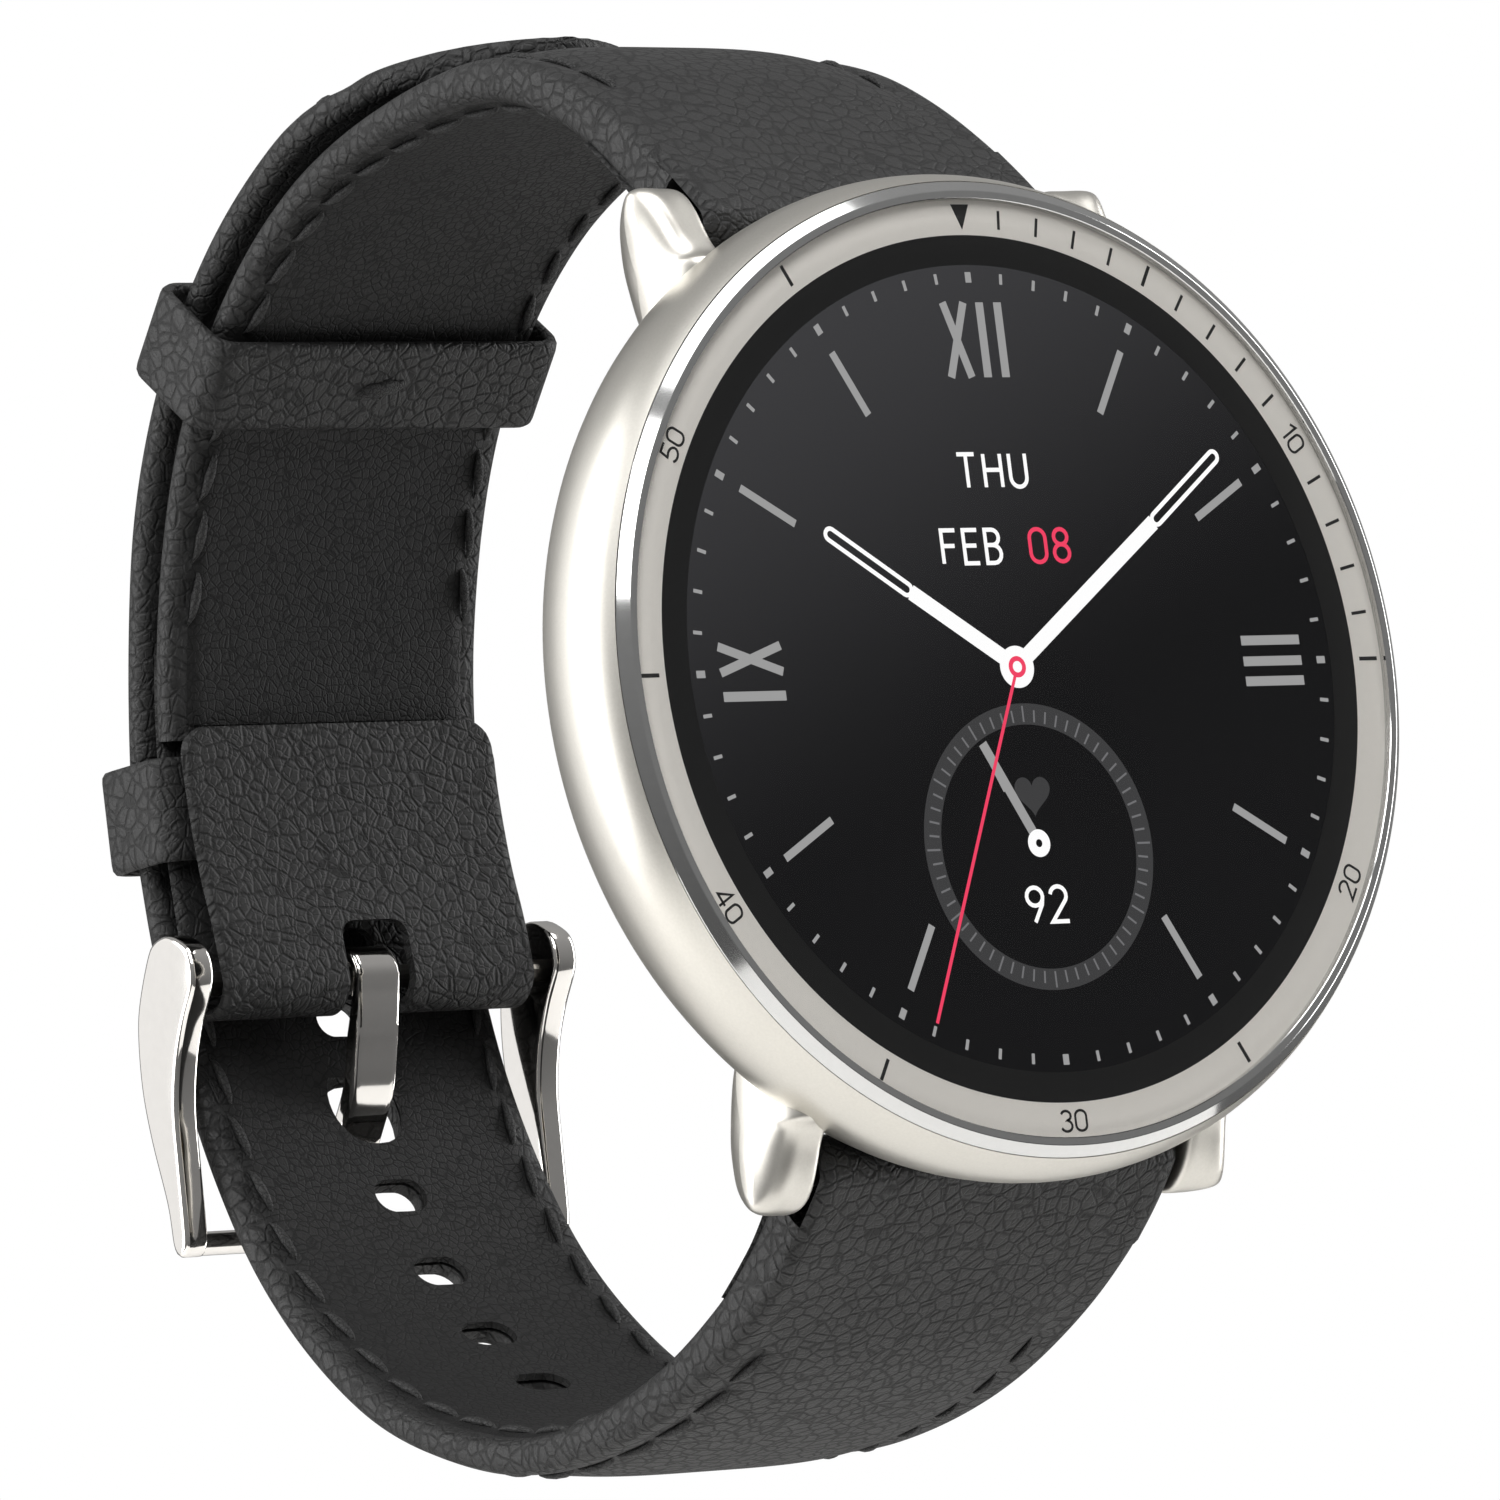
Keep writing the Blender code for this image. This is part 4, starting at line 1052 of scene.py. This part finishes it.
def add_keepers():
    fixed = band(
        (9.8, 50.55, 55.7, 1.0),
        (9.25, 51.1, 55.05, 0.6),
        (2.4, 0.0, 1.0, 0.42),
        lambda x, depth, along: at(x, depth, 2.6 + along),
    )
    add_piece("fixed_keeper_loop", fixed, CALF, 50, replaces=["fixed_keeper"])
    sliding = band((9.8, 21.85, 27.9, 1.1), (9.25, 22.5, 27.35, 0.7), (2.25, 0.0, 1.0, 0.4), keeper_point)
    add_piece(
        "sliding_keeper_loop",
        sliding,
        CALF,
        50,
        body="sliding_keeper",
        replaces=["sliding_keeper"],
    )


def add_keeper_seam():
    """The butt seam of the sliding keeper, held by one thick stitch across it."""
    seam = bmesh.new()
    bmesh.ops.create_cube(seam, size=1.0)
    for vert in seam.verts:
        vert.co = keeper_point(vert.co.x * 0.09, 21.9 + vert.co.y * 0.12, vert.co.z * 4.1)
    add_piece("keeper_seam", seam, THREAD, 60, body="sliding_keeper")
    pod = bmesh.new()
    bmesh.ops.create_uvsphere(pod, u_segments=16, v_segments=12, radius=1.0)
    for vert in pod.verts:
        x, y, z = vert.co
        vert.co = keeper_point(x * 1.3, 21.85 + y * 0.28, z * 0.42 + x * 0.25 + 0.06 * math.sin(x * 9))
    add_piece("keeper_stitch", pod, THREAD, 60, body="sliding_keeper")


# ---------------------------------------------------------------- buckle


def add_buckle():
    plate = [(49.0, -3.7), (48.3, -4.25), (48.07, -5.1), (48.26, -6.0), (49.27, -7.5), (50.1, -9.2)]
    plate += [(50.65, -11.3), (50.79, -13.7), (50.9, -16.4), (51.05, -17.5), (51.6, -17.9), (52.15, -17.4)]
    plate += [(52.3, -15.4), (52.95, -12.4), (53.24, -10.0), (53.1, -7.6), (52.66, -6.0), (51.55, -4.0)]
    plate += [(50.85, -3.45), (49.85, -3.35)]
    outline = Route(plate, closed=True)
    bm = bmesh.new()
    for side in (1, -1):
        one = bmesh.new()
        corners = [outline.place(outline.length * index / 120)[0] for index in range(120)]
        face = one.faces.new([one.verts.new(at(9.6, *corner)) for corner in corners])
        thicken(one, [face], (1.3 * MM, 0, 0))
        bmesh.ops.recalc_face_normals(one, faces=one.faces)
        rims = [edge for edge in one.edges if abs(edge.verts[0].co.x - edge.verts[1].co.x) < 1e-6]
        round_edges(one, rims, 0.28, 4)
        bmesh.ops.scale(one, vec=(side, 1, 1), verts=one.verts)
        bmesh.ops.recalc_face_normals(one, faces=one.faces)
        join(bm, one)
    cross_rod = axis_frame(at(-9.9, 51.6, -17.3), Vector((1, 0, 0)))
    join(bm, lathe([(0, 0), (0.55, 0), (0.55, 19.8), (0, 19.8)], 48, cross_rod))
    add_piece(
        "buckle_plates",
        bm,
        POLISHED,
        40,
        body="buckle_frame",
        replaces=["buckle_frame"],
    )

    line = Route(arc(BUCKLE_BAR, 1.18, -25, 180, 12) + TONGUE_MIDDLE)
    half_thick = table([(0, 0.25), (5, 0.3), (7, 0.48), (14, 0.48), (line.length, 0.33)])
    half_wide = table([(0, 1.2), (13, 1.2), (line.length - 1, 0.95), (line.length, 0.75)])

    def tongue(u, v):
        length = line.length * u
        thick = half_thick(length)
        x, depth = rounded_box_point(v, half_wide(length), -thick, thick, 0.2)
        return at(x, *line.offset(length, depth))

    add_piece(
        "tongue_pin",
        skin(120, 40, tongue),
        POLISHED,
        40,
        body="buckle_tongue",
        replaces=["buckle_tongue"],
    )


# ---------------------------------------------------------------- buttons


def add_buttons():
    shape = [(0, 17.0), (0.5, 17.0), (0.5, 20.55), (1.72, 20.55), (1.8, 20.63), (1.8, 22.55)]
    shape += arc((1.35, 22.55), 0.45, 0, 90, 8)[1:] + [(0, 23.0)]
    for name in BUTTON_ANGLES:
        add_piece(
            f"{name}_push_button",
            lathe(shape, 64, button_frame(name)),
            POLISHED,
            30,
            body=f"{name}_button",
            replaces=[f"{name}_button"],
        )


# ---------------------------------------------------------------- parts kept from the frame


def dress(names, look):
    for name in names:
        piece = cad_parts[name]
        piece.data.materials.clear()
        piece.data.materials.append(look)


def dress_frame():
    # Rubber and moulded plastic: dull, with a barely seen texture
    rubber = grained_leather("moulded_rubber", "#161616", "#101010", 0.3, 0.004, 0.7, 0.1)
    plastic = grained_leather("moulded_black_plastic", "#141414", "#101010", 0.2, 0.004, 0.5, 0.1)
    # Solder mask: a glossy bottle green
    board = grained_leather("solder_masked_board", "#123c22", "#0d2c19", 0.8, 0.01, 0.4, 0.1)
    # Foil: bright and faintly crinkled
    foil = fine_grained("cell_foil", "#b4b6ba", "#9fa1a5", 0.35, 0.05, 0.6, 0.01)
    # Gold plate: a warm, soft mirror
    gold = fine_grained("gold_plate", "#d8b36a", "#c9a259", 0.25, 0.05, 0.3, 0.002)
    # Polyimide: an amber film with a soft shine
    flex = grained_leather("polyimide_flex", "#a46a22", "#8a5517", 0.6, 0.004, 0.35, 0.1)
    # Smoked glass: black, with mirror-sharp reflections
    sensor = finish("smoked_sensor_glass", "#060607", 0.0, 0.04)[0]
    # Resin: milky and smooth
    resin = finish("led_resin", "#dcd8c8", 0.0, 0.3)[0]
    dress(["glass_gasket", "rear_gasket", "upper_button_seal", "lower_button_seal"], rubber)
    dress(["inner_frame", "speaker", "rear_cover"], plastic)
    dress(["main_board", "sensor_board"], board)
    dress(["battery"], foil)
    dress(["charge_contact_left", "charge_contact_right"], gold)
    dress(["display_flex"], flex)
    dress(["sensor_window", "photodiode"], sensor)
    dress(["green_led", "red_led"], resin)
    steel = ["processor_shield", "vibration_motor", "microphone", "buckle_bar"]
    for side in ("upper", "lower"):
        steel += [f"{side}_button_switch", f"{side}_bar_tube", f"{side}_bar_tip"]
    dress(steel, TURNED)


# ---------------------------------------------------------------- stage


def add_light(name, place, aim, size, power):
    data = bpy.data.lights.new(name, "AREA")
    data.shape = "RECTANGLE"
    data.size, data.size_y = size
    data.energy = power
    lamp = bpy.data.objects.new(name, data)
    lamp.location = place
    lamp.rotation_euler = (Vector(aim) - Vector(place)).to_track_quat("-Z", "Y").to_euler()
    bpy.context.scene.collection.objects.link(lamp)


def add_camera():
    data = bpy.data.cameras.new("camera")
    data.sensor_width = 36
    data.lens = 295.2
    data.clip_start, data.clip_end = 0.01, 20
    camera = bpy.data.objects.new("camera", data)
    right = Vector((0.793164, -0.596876, -0.120954))
    down = Vector((-0.022761, 0.169416, -0.985282))
    ahead = Vector((0.608582, 0.784243, 0.120790))
    turn = Matrix((right, -down, -ahead)).transposed()
    camera.matrix_world = Matrix.Translation(Vector((-329.604, -414.831, -65.729)) * MM) @ turn.to_4x4()
    bpy.context.scene.collection.objects.link(camera)
    bpy.context.scene.camera = camera
    return right, -down, ahead


def add_stage():
    right, up, ahead = add_camera()
    middle = Vector((0, 12, 0)) * MM

    def spot(across, rise, back):
        return middle + right * across + up * rise - ahead * back

    add_light("front_softbox", spot(-0.15, 0.5, 0.6), middle, (0.5, 0.4), 4)
    add_light("left_softbox", spot(-0.62, 0.1, 0.1), middle, (0.4, 0.9), 5)
    add_light("top_softbox", spot(0.05, 0.8, 0.15), middle, (1.0, 0.4), 5)
    add_light("right_softbox", spot(0.62, 0.1, -0.3), middle, (0.25, 0.9), 4)
    behind_left = middle + Vector((-0.608, 0.784, 0.12)) * 0.7
    add_light("back_left_softbox", behind_left, middle, (0.6, 0.9), 1.5)
    world = bpy.data.worlds.new("pale_studio")
    bpy.context.scene.world = world
    world.use_nodes = True
    tree = world.node_tree
    shade = tree.nodes["Background"]
    shade.inputs["Color"].default_value = (1, 1, 1, 1)
    # The light from the world is weak from below and stronger from above; the camera sees it plain
    direction = node(tree, "ShaderNodeTexCoord").outputs["Generated"]
    sky = node(tree, "ShaderNodeSeparateXYZ", links={"Vector": direction})
    values = {"From Min": -0.7, "From Max": 0.8, "To Min": 0.12, "To Max": 0.4}
    lift = node(tree, "ShaderNodeMapRange", values=values, links={"Value": sky.outputs["Z"]})
    tree.links.new(lift.outputs[0], shade.inputs["Strength"])
    plain = node(tree, "ShaderNodeBackground", values={"Color": (1, 1, 1, 1), "Strength": 1.0})
    path = node(tree, "ShaderNodeLightPath")
    links = {0: path.outputs["Is Camera Ray"], 1: shade.outputs[0], 2: plain.outputs[0]}
    mixed = node(tree, "ShaderNodeMixShader", links=links)
    tree.links.new(mixed.outputs[0], tree.nodes["World Output"].inputs["Surface"])
    floor = bmesh.new()
    bmesh.ops.create_grid(floor, x_segments=2, y_segments=2, size=0.5)
    bmesh.ops.translate(floor, vec=(0, 0.2, -0.3), verts=floor.verts)
    mesh = bpy.data.meshes.new("floor")
    floor.to_mesh(mesh)
    floor.free()
    obj = bpy.data.objects.new("floor", mesh)
    mesh.materials.append(finish("pale_floor_paint", "#f2f1ef", 0.0, 0.7)[0])
    bpy.context.scene.collection.objects.link(obj)


add_stage()
add_case()
add_front()
add_ring_print()
add_display_print()
add_hole_strap()
add_buckle_strap()
add_keepers()
add_keeper_seam()
add_buckle()
add_buttons()
dress_frame()
bpy.context.scene.view_settings.view_transform = "Standard"
